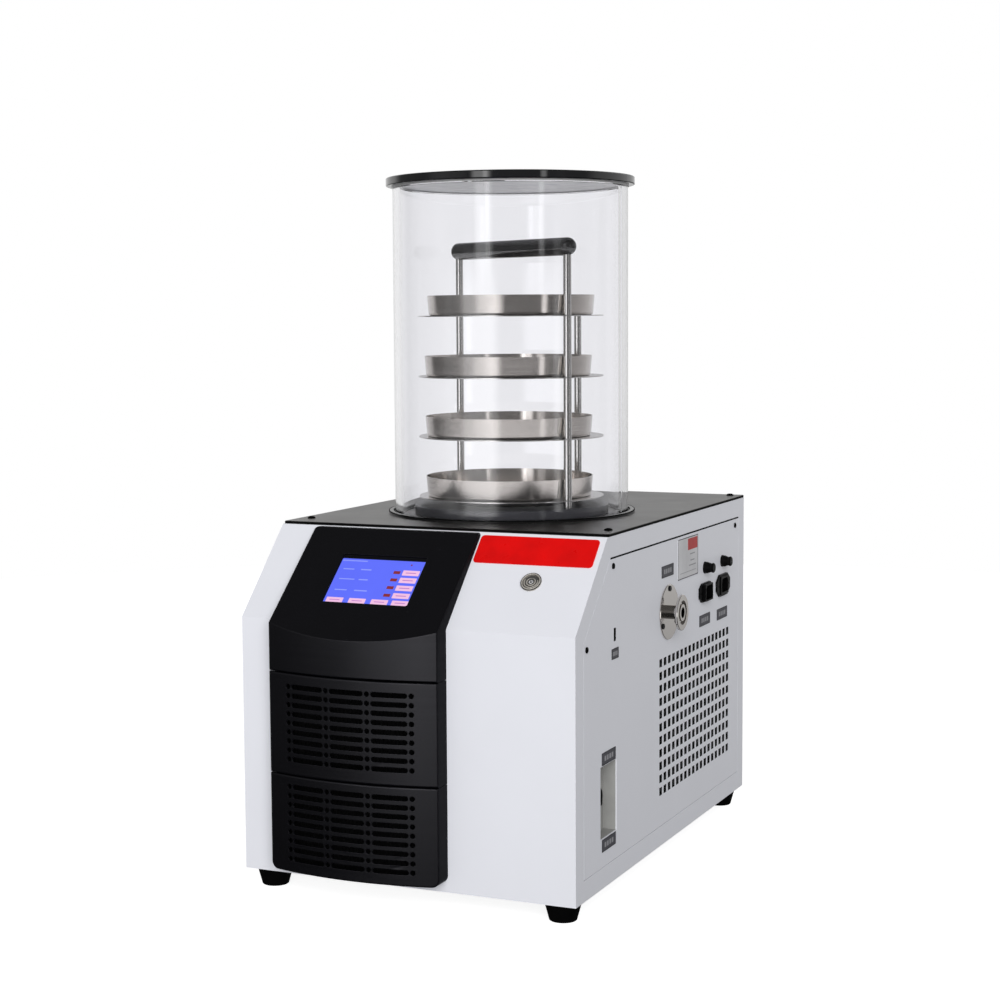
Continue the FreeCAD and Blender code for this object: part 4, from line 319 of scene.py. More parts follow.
def polished_metal(name, colour, roughness=0.12):
    """Polished metal with faint wipe marks."""
    surface = Surface(name, colour, roughness, 1.0)
    surface.vary_roughness(surface.noise(50.0), 0.03)
    surface.bump(surface.noise(220.0), 0.00001, 0.2)
    return surface.material


def satin_silver(name, colour):
    """Silver coat, part paint and part metal, with a fine grain."""
    surface = Surface(name, colour, 0.28, 0.45)
    surface.vary_colour(surface.noise(300.0), 0.94, 1.05)
    surface.vary_roughness(surface.noise(160.0), 0.04)
    surface.bump(surface.noise(1400.0), 0.00001, 0.3)
    return surface.material


def clear_silicone(name):
    """Milky silicone of the gasket."""
    surface = Surface(name, (0.72, 0.72, 0.73), 0.4)
    surface.put("Subsurface Weight", 0.4)
    surface.put("Subsurface Radius", (0.004, 0.004, 0.004))
    surface.vary_colour(surface.noise(60.0), 0.95, 1.03)
    surface.bump(surface.noise(900.0), 0.00004, 0.3)
    return surface.material


def clear_acrylic(name):
    """Clear acrylic that lets lamps through, faintly smudged."""
    surface = Surface(name, (0.955, 0.955, 0.975), 0.012)
    surface.put("Transmission Weight", 1.0)
    surface.put("IOR", 1.49)
    surface.vary_roughness(surface.noise(9.0, detail=5.0), 0.004)
    through = surface.node("ShaderNodeBsdfTransparent")
    through.inputs["Color"].default_value = (0.93, 0.935, 0.945, 1.0)
    path = surface.node("ShaderNodeLightPath")
    mix = surface.node("ShaderNodeMixShader")
    surface.feed(mix.inputs["Fac"], path.outputs["Is Shadow Ray"])
    surface.feed(mix.inputs[1], surface.shader.outputs["BSDF"])
    surface.feed(mix.inputs[2], through.outputs["BSDF"])
    surface.feed(surface.output.inputs["Surface"], mix.outputs["Shader"])
    return surface.material


def glowing(name, colour):
    """Lit part of the display, with a slight unevenness of its backlight."""
    surface = Surface(name, tuple(part * 0.02 for part in colour), 0.3, gloss=0.1)
    share = surface.spread(surface.noise(30.0), 0.0, 1.0)
    dim = (*[part * 0.95 for part in colour], 1.0)
    surface.feed(surface.shader.inputs["Emission Color"], surface.mix(share, dim, (*colour, 1.0)))
    surface.put("Emission Strength", 1.0)
    return surface.material


def circuit_board(name):
    """Green solder mask, lighter and darker in small areas."""
    surface = Surface(name, (0.02, 0.13, 0.06), 0.35)
    surface.vary_colour(surface.grain(240.0), 0.5, 1.6)
    surface.bump(surface.noise(700.0), 0.0001, 0.4)
    return surface.material


MATERIALS = {
    "white_paint": painted_steel("white_paint", (0.80, 0.81, 0.865)),
    "black_coated_metal": coated_metal("black_coated_metal", (0.014, 0.0135, 0.0135), 0.30, 0.55,
                                       (1.0, 0.90, 0.85)),
    "cover_metal": coated_metal("cover_metal", (0.05, 0.05, 0.056), 0.32, 0.7),
    # Black steel; on the power button it also paints the shade of the grooves.
    "black_steel": coated_metal("black_steel", (0.008, 0.008, 0.009), 0.35, 0.3),
    # Black screws; the same near-black, matte coat also paints shade in seams, slots, the seal's groove and
    # along the top plate's edge.
    "black_screw_and_shade": coated_metal("black_screw_and_shade", (0.002, 0.002, 0.002), 0.7, 0.08),
    "seal_rubber": coated_metal("seal_rubber", (0.006, 0.006, 0.0062), 0.24, 0.5),
    "satin_silver": satin_silver("satin_silver", (0.60, 0.57, 0.52)),
    "steel": polished_metal("steel", (0.60, 0.60, 0.61), 0.25),
    "port_steel": polished_metal("port_steel", (0.70, 0.665, 0.635), 0.07),
    "zinc_steel": brushed_metal("zinc_steel", (0.22, 0.23, 0.24), 0.45, (60.0, 900.0, 60.0)),
    "polished_steel": polished_metal("polished_steel", (0.66, 0.645, 0.62), 0.16),
    "stainless_steel": turned_metal("stainless_steel", (0.66, 0.62, 0.58), 0.15),
    "shelf_steel": turned_metal("shelf_steel", (0.68, 0.665, 0.65), 0.24, 0.4),
    "rod_steel": polished_metal("rod_steel", (0.62, 0.61, 0.59), 0.12),
    "black_rubber": rubber("black_rubber", (0.004, 0.004, 0.0042)),
    "foot_rubber": rubber("foot_rubber", (0.0016, 0.0016, 0.0017), 0.8, 0.08),
    "black_plastic": housing_plastic("black_plastic", (0.0016, 0.0016, 0.0024)),
    "black_gloss": coated_metal("black_gloss", (0.003, 0.003, 0.004), 0.08, 1.0),
    "handle_plastic": coated_metal("handle_plastic", (0.006, 0.006, 0.006), 0.14, 0.9),
    "socket_plastic": moulded_plastic("socket_plastic", (0.0028, 0.0028, 0.003), 0.42, 0.00002, 0.1),
    "screen_glass": coated_metal("screen_glass", (0.004, 0.004, 0.006), 0.12, 0.3),
    "screen_blue": glowing("screen_blue", (0.127, 0.171, 1.0)),
    "screen_mark": glowing("screen_mark", (0.30, 0.36, 1.0)),
    "screen_pink": glowing("screen_pink", (0.91, 0.55, 0.80)),
    "screen_shade": glowing("screen_shade", (0.55, 0.22, 0.62)),
    "screen_red": glowing("screen_red", (0.25, 0.035, 0.045)),
    "circuit_board": circuit_board("circuit_board"),
    "red_plastic": moulded_plastic("red_plastic", (0.74, 0.003, 0.003), 0.3, 0.00001, 0.2),
    "label_grey": moulded_plastic("label_grey", (0.070, 0.070, 0.082), 0.45, 0.00001, 0.2),
    "label_dark": moulded_plastic("label_dark", (0.018, 0.018, 0.022), 0.45, 0.00001, 0.2),
    "label_mark": moulded_plastic("label_mark", (0.30, 0.30, 0.32), 0.45, 0.00001, 0.2),
    "label_red": moulded_plastic("label_red", (0.45, 0.05, 0.05), 0.45, 0.00001, 0.2),
    "label_white": moulded_plastic("label_white", (0.60, 0.60, 0.62), 0.4, 0.00001, 0.2),
    "pocket_plastic": moulded_plastic("pocket_plastic", (0.335, 0.335, 0.325), 0.5, 0.00003, 0.3),
    # Near-black foam of the pleated sheets: painted shade behind the grilles and vents.
    "shade_sheet_foam": rubber("shade_sheet_foam", (0.0035, 0.0035, 0.0037), 0.8, 0.15),
    "brass": polished_metal("brass", (0.62, 0.44, 0.18), 0.3),
    "hose": rubber("hose", (0.42, 0.42, 0.39), 0.45),
    "copper": polished_metal("copper", (0.63, 0.30, 0.17), 0.3),
    "foam": rubber("foam", (0.012, 0.012, 0.012), 0.9),
    # Near-black fins: painted shade of the dark inside, seen through the grilles.
    "fin_aluminium": brushed_metal("fin_aluminium", (0.03, 0.03, 0.032), 0.45, (40.0, 40.0, 900.0)),
    "motor_steel": coated_metal("motor_steel", (0.02, 0.02, 0.022), 0.4),
    "compressor_paint": coated_metal("compressor_paint", (0.008, 0.008, 0.009), 0.25),
    "clear_silicone": clear_silicone("clear_silicone"),
    # Pale and glossy: painted reflection on the lid's underside.
    "lid_reflection_disc": moulded_plastic("lid_reflection_disc", (0.80, 0.80, 0.82), 0.18, 0.000005, 0.6),
    "clear_acrylic": clear_acrylic("clear_acrylic"),
}


# ---- stage ----------------------------------------------------------------------------------
def make_camera():
    """Camera at the photograph's viewing angle."""
    flat = math.cos(CAMERA_PITCH)
    ahead = Vector((-math.sin(CAMERA_YAW) * flat, math.cos(CAMERA_YAW) * flat, -math.sin(CAMERA_PITCH)))
    right = Vector((math.cos(CAMERA_YAW), math.sin(CAMERA_YAW), 0.0))
    up = right.cross(ahead)
    turned_right = right * math.cos(CAMERA_ROLL) + up * math.sin(CAMERA_ROLL)
    turned_up = up * math.cos(CAMERA_ROLL) - right * math.sin(CAMERA_ROLL)
    data = bpy.data.cameras.new("camera")
    data.sensor_width = 36.0
    data.lens = CAMERA_LENS
    data.shift_x, data.shift_y = CAMERA_SHIFT
    data.clip_end = 60.0
    camera = bpy.data.objects.new("camera", data)
    camera.matrix_world = Matrix.Translation(CAMERA_PLACE) @ Matrix(
        (turned_right, turned_up, -ahead)).transposed().to_4x4()
    SCENE.collection.objects.link(camera)
    SCENE.camera = camera


def make_sun():
    """One very soft lamp on the camera's side, low above the horizon."""
    data = bpy.data.lights.new("soft_sun", "SUN")
    data.energy = SUN_STRENGTH
    data.angle = SUN_SPREAD
    light = bpy.data.objects.new("soft_sun", data)
    towards = Vector((math.sin(SUN_AZIMUTH) * math.cos(SUN_HEIGHT),
                      -math.cos(SUN_AZIMUTH) * math.cos(SUN_HEIGHT), math.sin(SUN_HEIGHT)))
    light.rotation_euler = (-towards).to_track_quat("-Z", "Y").to_euler()
    light.visible_glossy = False
    light.visible_transmission = False
    SCENE.collection.objects.link(light)
    SCENE.view_settings.view_transform = "Standard"
    SCENE.view_settings.look = "None"


def make_floor():
    """Pale floor disc under the machine."""
    mesh = bpy.data.meshes.new("floor")
    work = bmesh.new()
    bmesh.ops.create_circle(work, cap_ends=True, segments=96, radius=FLOOR_RADIUS)
    work.to_mesh(mesh)
    work.free()
    floor = bpy.data.objects.new("floor", mesh)
    SCENE.collection.objects.link(floor)
    surface = Surface("floor", (0.60, 0.60, 0.60), 0.9, gloss=0.0)
    surface.vary_colour(surface.noise(3.0), 0.995, 1.0)
    surface.put("Emission Color", (1.0, 1.0, 1.0, 1.0))
    surface.put("Emission Strength", FLOOR_GLOW)
    mesh.materials.append(surface.material)
    floor.visible_glossy = False
    floor.visible_diffuse = False


def make_world():
    """Studio: white to the camera, panels to reflections, a soft fill to all other light."""
    world = bpy.data.worlds.new("studio")
    SCENE.world = world
    world.use_nodes = True
    world.cycles.sampling_method = "NONE"
    world.node_tree.nodes.clear()
    graph = Graph(world.node_tree)
    split = graph.node("ShaderNodeSeparateXYZ")
    graph.feed(split.inputs[0], graph.node("ShaderNodeTexCoord").outputs["Generated"])
    x, y, z = (split.outputs[name] for name in "XYZ")
    azimuth = graph.math("ARCTAN2", x, graph.math("MULTIPLY", y, -1.0))

    def turn(value, limits, low=0.0, high=1.0, smooth=False):
        """Change over a pair of azimuths in degrees."""
        return graph.ramp(value, math.radians(limits[0]), math.radians(limits[1]), low, high, smooth)

    def panel(centre, half, soft, strength, low, high, edge):
        """Light panel at an azimuth in degrees, between two heights."""
        away = graph.math("ABSOLUTE", graph.math("SUBTRACT", azimuth, math.radians(centre)))
        across = turn(away, (half + soft, half - soft), smooth=True)
        above = graph.ramp(z, low - edge, low + edge, smooth=True)
        below = graph.ramp(z, high + edge, high - edge, smooth=True)
        share = graph.math("MULTIPLY", across, graph.math("MULTIPLY", above, below))
        return graph.math("MULTIPLY", share, strength)

    aside = graph.math("ABSOLUTE", azimuth)
    behind = turn(aside, BEHIND_TURN, 0.0, BEHIND_LEVEL, smooth=True)
    around = turn(aside, AROUND_TURN, *AROUND_LEVEL)
    soft = graph.math("MULTIPLY", graph.math("ADD", behind, around),
                      graph.ramp(z, *GROUND_RISE, GROUND_SHARE, 1.0, smooth=True))
    overhead = graph.ramp(z, *OVERHEAD_RISE, smooth=True)
    level = graph.math("ADD", graph.math("MULTIPLY", soft, graph.math("SUBTRACT", 1.0, overhead)),
                       graph.math("MULTIPLY", overhead, OVERHEAD_LEVEL))
    glow = graph.math("POWER", turn(azimuth, GLOW_TURN), GLOW_POWER)
    glow = graph.math("MULTIPLY", glow, turn(azimuth, GLOW_END))
    for limits in (GLOW_BOTTOM, GLOW_TOP):
        glow = graph.math("MULTIPLY", glow, graph.ramp(z, *limits, smooth=True))
    level = graph.math("ADD", level, graph.math("MULTIPLY", glow, GLOW_LEVEL))
    for light_panel in PANELS:
        level = graph.math("ADD", level, panel(*light_panel))
    fill = graph.ramp(z, -1.0, 1.0, FILL_LOW, FILL_HIGH)
    path = graph.node("ShaderNodeLightPath").outputs
    straight = graph.math("LESS_THAN", graph.math(
        "ADD", path["Diffuse Depth"], path["Glossy Depth"]), 0.5)
    reflected = graph.math("MULTIPLY", graph.math("GREATER_THAN", path["Glossy Depth"], 0.5),
                           graph.math("LESS_THAN", path["Diffuse Depth"], 0.5))
    value = graph.math("ADD", graph.math("MULTIPLY", reflected, level),
                       graph.math("MULTIPLY", graph.math("SUBTRACT", 1.0, reflected), fill))
    value = graph.math("MAXIMUM", value, straight)
    shade = graph.node("ShaderNodeBackground")
    shade.inputs["Color"].default_value = (1.0, 1.0, 1.0, 1.0)
    graph.feed(shade.inputs["Strength"], value)
    output = graph.node("ShaderNodeOutputWorld")
    graph.feed(output.inputs["Surface"], shade.outputs["Background"])


# ---- CAD nodes that keep their shape --------------------------------------------------------
SPECIAL_MATERIAL = {
    "shelf_1": "shelf_steel", "shelf_2": "shelf_steel", "shelf_3": "shelf_steel", "shelf_4": "shelf_steel",
    "rack_rods": "rod_steel", "rack_handle": "handle_plastic",
    "feet": "foot_rubber", "seal_ring": "seal_rubber",
    "drain_pocket": "pocket_plastic", "data_port": "socket_plastic",
    "trap_cover": "cover_metal", "power_button_body": "satin_silver",
    "vacuum_port": "port_steel", "vacuum_port_screws": "black_steel",
    "panel_screws": "black_screw_and_shade", "top_plate_screws": "black_screw_and_shade",
}


def dress_cad_nodes():
    """Gives every CAD node the material of its slot, or its special one."""
    slots = {entry["node"]: entry["material_slot"] for entry in frame["record"]["subparts"]}
    for name, node in NODES.items():
        material = MATERIALS[SPECIAL_MATERIAL.get(name, slots[name])]
        if not node.material_slots:
            node.data.materials.append(material)
        for entry in node.material_slots:
            entry.material = material


# ---- mesh helpers ---------------------------------------------------------------------------
MERGE_DISTANCE = 1e-6                   # points nearer than this are one


def finish_piece(name, work, material, body=ROOT, smooth=None):
    """Turns a mesh under construction into a piece that rides on a body."""
    bmesh.ops.recalc_face_normals(work, faces=work.faces)
    if smooth is not None:
        shade_smooth(work, smooth)
    mesh = bpy.data.meshes.new(name)
    work.to_mesh(mesh)
    work.free()
    mesh.materials.append(MATERIALS[material])
    piece = bpy.data.objects.new(name, mesh)
    SCENE.collection.objects.link(piece)
    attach(piece, body)
    return piece


def shade_smooth(work, sharp_angle):
    """Smooth shading, with edges above the angle kept sharp."""
    limit = math.radians(sharp_angle)
    for face in work.faces:
        face.smooth = True
    for edge in work.edges:
        edge.smooth = edge.calc_face_angle(0.0) < limit


def box_of(name):
    """Lower and upper corner of a CAD node."""
    return [Vector(corner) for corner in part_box(name)]


def round_radius(name):
    """Half the width of a CAD node."""
    low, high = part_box(name)
    return (high[0] - low[0]) / 2


class Place:
    """A flat place on the machine: origin, two directions along it and one out of it."""

    def __init__(self, origin, across, up):
        self.origin = origin
        self.across = across.normalized()
        self.out = self.across.cross(up).normalized()
        self.up = self.out.cross(self.across)

    def at(self, u, v, lift=0.0):
        """World point from distances across, up and out."""
        return self.origin + self.across * u + self.up * v + self.out * lift

    def shifted(self, u, v, lift=0.0):
        """The same directions at another origin."""
        return Place(self.at(u, v, lift), self.across, self.up)


def level_place(low, high, height):
    """Level place over the middle of a box."""
    return Place(Vector(((low.x + high.x) / 2, (low.y + high.y) / 2, height)), X_AXIS, Y_AXIS)


def rounded_outline(width, height, radius, steps=5):
    """Closed outline of a rectangle with rounded corners, about its middle."""
    points = []
    for corner, (side, level) in enumerate(((1, 1), (-1, 1), (-1, -1), (1, -1))):
        centre = Vector((side * (width / 2 - radius), level * (height / 2 - radius)))
        for step in range(steps + 1):
            angle = math.pi / 2 * (corner + step / steps)
            points.append(centre + Vector((math.cos(angle), math.sin(angle))) * radius)
    return points


def add_ring(work, place, outline, lift):
    """One closed row of points."""
    return [work.verts.new(place.at(point[0], point[1], lift)) for point in outline]


def join_rings(work, first, second):
    """Faces between two closed rows with the same number of points."""
    count = len(first)
    for index in range(count):
        after = (index + 1) % count
        work.faces.new((first[index], first[after], second[after], second[index]))


def add_tile(work, place, width, height, radius, thickness, edge):
    """Raised tile with a rounded outline and a broken upper edge."""
    low = add_ring(work, place, rounded_outline(width, height, radius), 0.0)
    shoulder = add_ring(work, place, rounded_outline(width, height, radius), thickness - edge)
    inner = rounded_outline(width - 2 * edge, height - 2 * edge, max(radius - edge, radius * 0.3))
    top = add_ring(work, place, inner, thickness)
    join_rings(work, low, shoulder)
    join_rings(work, shoulder, top)
    work.faces.new(top)
    work.faces.new(low[::-1])


def add_tile_mm(work, place, size):
    """Tile with its width, height, corner radius, thickness and broken edge in millimetres."""
    add_tile(work, place, *(value * MM for value in size))


def add_frame(work, place, width, height, radius, band, thickness):
    """Raised band round a rectangle."""
    outer = rounded_outline(width, height, radius)
    inner = rounded_outline(width - 2 * band, height - 2 * band, max(radius - band, radius * 0.3))
    rings = [add_ring(work, place, outer, 0.0), add_ring(work, place, outer, thickness),
             add_ring(work, place, inner, thickness), add_ring(work, place, inner, 0.0)]
    for index in range(4):
        join_rings(work, rings[index], rings[(index + 1) % 4])


def add_turned(work, place, profile, steps=96, start=0.0, sweep=360.0):
    """Closed section of (radius, lift) points turned round the place's own normal."""
    whole = sweep >= 360.0
    rings = []
    for step in range(steps if whole else steps + 1):
        angle = math.radians(start + sweep * step / steps)
        rings.append([work.verts.new(place.at(radius * math.cos(angle), radius * math.sin(angle), lift))
                      for radius, lift in profile])
    for index in range(len(rings) if whole else len(rings) - 1):
        join_rings(work, rings[index], rings[(index + 1) % len(rings)])
    if not whole:
        work.faces.new(rings[0][::-1])
        work.faces.new(rings[-1])


def flat_patches(name, toward, least=0.995):
    """Patches of a CAD node that face a direction, largest first, as (area, points, normal).

    The normal is that of the first face found, so on a curved patch it varies from run to run.
    """
    work = bmesh.new()
    work.from_mesh(NODES[name].data)
    bmesh.ops.remove_doubles(work, verts=work.verts, dist=MERGE_DISTANCE)
    faces = {face for face in work.faces if face.normal.dot(toward) > least}
    patches = []
    while faces:
        stack = [faces.pop()]
        patch = []
        while stack:
            face = stack.pop()
            patch.append(face)
            for edge in face.edges:
                for other in edge.link_faces:
                    if other in faces:
                        faces.remove(other)
                        stack.append(other)
        points = [vert.co.copy() for face in patch for vert in face.verts]
        patches.append((sum(face.calc_area() for face in patch), points, patch[0].normal.copy()))
    work.free()
    return sorted(patches, key=lambda entry: -entry[0])


def patch_place(patch, across):
    """Place in the middle of a patch, with its width and height."""
    _, points, normal = patch
    up = normal.cross(across)
    origin = points[0]
    spans = []
    for axis in (across, up):
        values = [(point - origin).dot(axis) for point in points]
        spans.append((min(values), max(values)))
    middle = origin + across * sum(spans[0]) / 2 + up * sum(spans[1]) / 2
    return Place(middle, across, up), spans[0][1] - spans[0][0], spans[1][1] - spans[1][0]


# ---- display --------------------------------------------------------------------------------
SLOPE_OUT = Vector((0.0, -0.653, 0.757))           # out of the slanted faces, to a few degrees
# All in millimetres.  Places are counted from the picture's upper left corner, to the right and down.
PICTURE = (98.5, 62.0, 1.4, 0.3, 0.1)
PICTURE_DROP = 1.8                      # its middle below the middle of the glass
PICTURE_LIFT = 0.15
SIDE_BUTTON = (19.2, 7.1, 0.5, 0.12, 0.04)
SIDE_MARK = (12.0, 1.2, 0.4, 0.06, 0.02)
SIDE_LAMP = (7.7, 4.0, 0.3, 0.12, 0.04)
SIDE_BUTTON_X = 86.1
SIDE_LAMP_X = 69.8
SIDE_ROWS = (16.5, 26.8, 37.6, 48.2)
LOW_BUTTON = (19.4, 6.6, 0.5, 0.12, 0.04)
LOW_MARK = (12.0, 1.1, 0.4, 0.06, 0.02)
LOW_BUTTON_Y = 58.0
LOW_COLUMNS = (12.45, 38.65, 64.65, 88.6)
MARK_LIFT = 0.12
STATUS_LAMP = (1.9, 1.9, 0.8, 0.12, 0.04)
STATUS_PLACE = (83.0, 5.4)
FIELD_BARS = (                          # left end, right end, level, height
    (1.0, 30.5, 3.0, 1.3), (6.0, 19.0, 14.8, 1.3), (6.3, 24.5, 28.8, 1.3), (7.0, 21.3, 44.0, 1.3),
    (27.0, 39.3, 14.8, 1.5), (29.6, 40.3, 28.8, 1.5), (30.0, 45.0, 44.0, 1.5),
)
INNER_FRAME_INSET = 5.6


def make_display():
    """Lit picture on the touch screen: plain generic fields with no lettering."""
    glass, width, height = patch_place(flat_patches("touch_screen", SLOPE_OUT, 0.99)[0], X_AXIS)
    window = glass.shifted(0.0, -PICTURE_DROP * MM, PICTURE_LIFT * MM)
    lit = bmesh.new()
    add_tile_mm(lit, window, PICTURE)
    finish_piece("screen_picture", lit, "screen_blue")

    corner = window.shifted(-PICTURE[0] / 2 * MM, PICTURE[1] / 2 * MM, PICTURE[3] * MM)

    def spot(right, down, lift=0.0):
        """Place on the picture."""
        return corner.shifted(right * MM, -down * MM, lift * MM)

    bars, buttons, marks, lamps = (bmesh.new() for _ in range(4))
    for row in SIDE_ROWS:
        add_tile_mm(buttons, spot(SIDE_BUTTON_X, row), SIDE_BUTTON)
        add_tile_mm(marks, spot(SIDE_BUTTON_X, row, MARK_LIFT), SIDE_MARK)
        add_tile_mm(lamps, spot(SIDE_LAMP_X, row), SIDE_LAMP)
    for column in LOW_COLUMNS:
        add_tile_mm(buttons, spot(column, LOW_BUTTON_Y), LOW_BUTTON)
        add_tile_mm(marks, spot(column, LOW_BUTTON_Y, MARK_LIFT), LOW_MARK)
    add_tile_mm(lamps, spot(*STATUS_PLACE), STATUS_LAMP)
    for left, right, level, tall in FIELD_BARS:
        add_tile_mm(bars, spot((left + right) / 2, level), (right - left, tall, 0.4, 0.1, 0.03))
    finish_piece("screen_buttons", buttons, "screen_pink")
    finish_piece("screen_button_marks", marks, "screen_shade")
    finish_piece("screen_lamps", lamps, "screen_red")
    finish_piece("screen_fields", bars, "screen_mark")

    rim = bmesh.new()
    add_frame(rim, glass.shifted(0.0, 0.0, 0.02 * MM), width - INNER_FRAME_INSET * MM,
              height - INNER_FRAME_INSET * MM, 2.0 * MM, 0.9 * MM, 0.35 * MM)
    finish_piece("screen_inner_frame", rim, "black_steel")


# ---- labels ---------------------------------------------------------------------------------
BORDER_HEIGHT = 0.12 * MM
LABEL_BLOCKS = (-0.26, -0.09, 0.09, 0.26)           # middles, as shares of the label's width
LABEL_BLOCK_SIZE = (0.11, 0.40)                     # shares of the label's width and height
RATING_LINES = ((0.06, 0.24), (-0.10, 0.20), (-0.22, 0.34))     # level and length, as shares
RATING_LINES_RIGHT = 0.22
RATING_FIELD = (34.0, 13.0, 0.6, 0.12, 0.04)        # millimetres
RATING_FIELD_PLACE = (0.23, 0.31)


def make_labels():
    """Borders and plain bars on the label plates, in place of lettering."""
    borders, blocks = bmesh.new(), bmesh.new()
    for patch in flat_patches("function_labels", X_AXIS):
        place, width, height = patch_place(patch, Y_AXIS)
        add_frame(borders, place, width, height, 0.3 * MM, 0.7 * MM, BORDER_HEIGHT)
        for column in LABEL_BLOCKS:
            add_tile(blocks, place.shifted(column * width, 0.0), width * LABEL_BLOCK_SIZE[0],
                     height * LABEL_BLOCK_SIZE[1], 0.3 * MM, 0.1 * MM, 0.03 * MM)
    finish_piece("label_borders", borders, "label_dark")
    finish_piece("label_bars", blocks, "label_mark")

    place, width, height = patch_place(flat_patches("rating_plate", X_AXIS)[0], Y_AXIS)
    border, lines, field = bmesh.new(), bmesh.new(), bmesh.new()
    add_frame(border, place, width, height, 0.4 * MM, 0.9 * MM, BORDER_HEIGHT)
    for level, span in RATING_LINES:
        add_tile(lines, place.shifted(width * RATING_LINES_RIGHT, height * level), width * span,
                 1.3 * MM, 0.4 * MM, 0.1 * MM, 0.03 * MM)
    add_tile(lines, place.shifted(0.0, -height * 0.36), width * 0.8, 0.6 * MM, 0.2 * MM, 0.1 * MM, 0.03 * MM)
    right, up = RATING_FIELD_PLACE
    add_tile_mm(field, place.shifted(width * right, height * up), RATING_FIELD)
    finish_piece("rating_plate_border", border, "label_grey")
    finish_piece("rating_plate_lines", lines, "label_mark")
    finish_piece("rating_plate_field", field, "label_red")


# ---- side panel seam: painted shade ---------------------------------------------------------
SEAM_MIDDLE = 0.95 * MM                 # middle of the seam above the panel's upper edge
SEAM_SINK = 0.3 * MM                    # the strip's back behind the panel's face


def make_seam_shade_strips():
    """Dark strip in the seam along the top of each side panel: painted shade of the gap."""
    for name, side in (("right_side_panel", 1.0), ("left_side_panel", -1.0)):
        low, high = box_of(name)
        along = [vert.co.y for vert in NODES[name].data.vertices if vert.co.z > high.z - 0.2 * MM]
        first, last = min(along), max(along)
        face = high.x if side > 0 else low.x
        work = bmesh.new()
        place = Place(Vector((face, (first + last) / 2, high.z + SEAM_MIDDLE)), Y_AXIS * side, Z_AXIS)
        add_tile(work, place.shifted(0.0, 0.0, -SEAM_SINK), last - first, 2.0 * MM, 0.5 * MM, 0.40 * MM,
                 0.15 * MM)
        finish_piece("panel_seam_shade_" + ("right" if side > 0 else "left"), work, "black_screw_and_shade")


# ---- dark pleated sheets and slot liners: painted shade -------------------------------------
# Dark pleated sheets behind the grilles and vents are painted shade of the machine's dark inside.
PLEAT_DEPTH = 2.2 * MM
FILTER_THICKNESS = 0.8 * MM
GRILLE_PLEATS = 40
GRILLE_SIDE = 6.0 * MM                  # filter inside the grille's sides
GRILLE_END = 5.0 * MM                   # and inside its top and bottom
GRILLE_BACK = 12.0 * MM                 # filter's front before the grille's rear
PANEL_PLEATS = 60
PANEL_GAP = 0.4 * MM                    # filter behind the sheet
VENT_SURROUND = 5.0 * MM                # filter past the outermost holes
SHEET_MARGIN = 20.0 * MM                # no vents this near to a sheet's edge
POCKET_CLEAR = 30.0 * MM                # the right panel's vents start past the drain pocket
LEFT_VENT_START = 60.0 * MM             # the left panel's vents lie within these
LEFT_VENT_TOP = 30.0 * MM
SLOT_SHADE_SINK = 0.04 * MM                  # dark slot liner of painted shade, inside both faces of the sheet
SLOT_SHADE_WIDTH = 0.12 * MM


def pleated_shade_sheet(name, corner, across, depth, width, height, pleats):
    """Dark sheet folded in upright pleats like a filter, from a lower corner: painted shade of the machine's
    dark inside.
    """
    work = bmesh.new()
    rows = []
    for index in range(2 * pleats + 1):
        fold = PLEAT_DEPTH if index % 2 else 0.0
        foot = corner + across * (width * index / (2 * pleats)) + depth * fold
        rows.append([work.verts.new(foot + depth * back + Z_AXIS * level) for level, back in
                     ((0.0, 0.0), (height, 0.0), (height, FILTER_THICKNESS), (0.0, FILTER_THICKNESS))])
    for first, second in zip(rows, rows[1:]):
        join_rings(work, first, second)
    work.faces.new(rows[0][::-1])
    work.faces.new(rows[-1])
    finish_piece(name, work, "shade_sheet_foam")


def within(limits):
    """Test of whether a point lies between the limits given for some of its axes."""
    return lambda point: all(low < point[axis] < high for axis, (low, high) in limits.items())


def opening_loops(name, toward, wanted):
    """Rims of a plate's openings on the side that faces a direction: (points, inward directions)."""
    work = bmesh.new()
    work.from_mesh(NODES[name].data)
    bmesh.ops.remove_doubles(work, verts=work.verts, dist=MERGE_DISTANCE)
    rims = {}
    for edge in work.edges:
        faces = sorted(edge.link_faces, key=lambda face: face.normal.dot(toward))
        if len(faces) != 2:
            continue
        wall, front = (face.normal.dot(toward) for face in faces)
        if front > 0.99 and abs(wall) < 0.3 and wanted(edge.verts[0].co):
            for vert in edge.verts:
                rims.setdefault(vert, []).append((edge.other_vert(vert), faces[0].normal.copy()))
    loops = []
    while rims:
        vert = next(iter(rims))
        loop = []
        while vert in rims:
            links = rims.pop(vert)
            loop.append((vert.co.copy(), sum((normal for _, normal in links), Vector()).normalized()))
            vert = next((other for other, _ in links if other in rims), None)
        loops.append(loop)
    work.free()
    return loops


def shade_openings(name, node, toward, wanted):
    """Thin dark liners in the slots of a sheet: painted shade, standing in for the shaded walls of the
    slots.
    """
    low, high = box_of(node)
    far = abs((high - low).dot(toward)) - 2 * SLOT_SHADE_SINK
    section = ((0.0, SLOT_SHADE_SINK), (SLOT_SHADE_WIDTH, SLOT_SHADE_SINK), (SLOT_SHADE_WIDTH, far), (0.0, far))
    work = bmesh.new()
    for loop in opening_loops(node, toward, wanted):
        rings = [[work.verts.new(point + inward * inset - toward * depth) for point, inward in loop]
                 for inset, depth in section]
        for index in range(4):
            join_rings(work, rings[index], rings[(index + 1) % 4])
    finish_piece(name, work, "black_screw_and_shade")


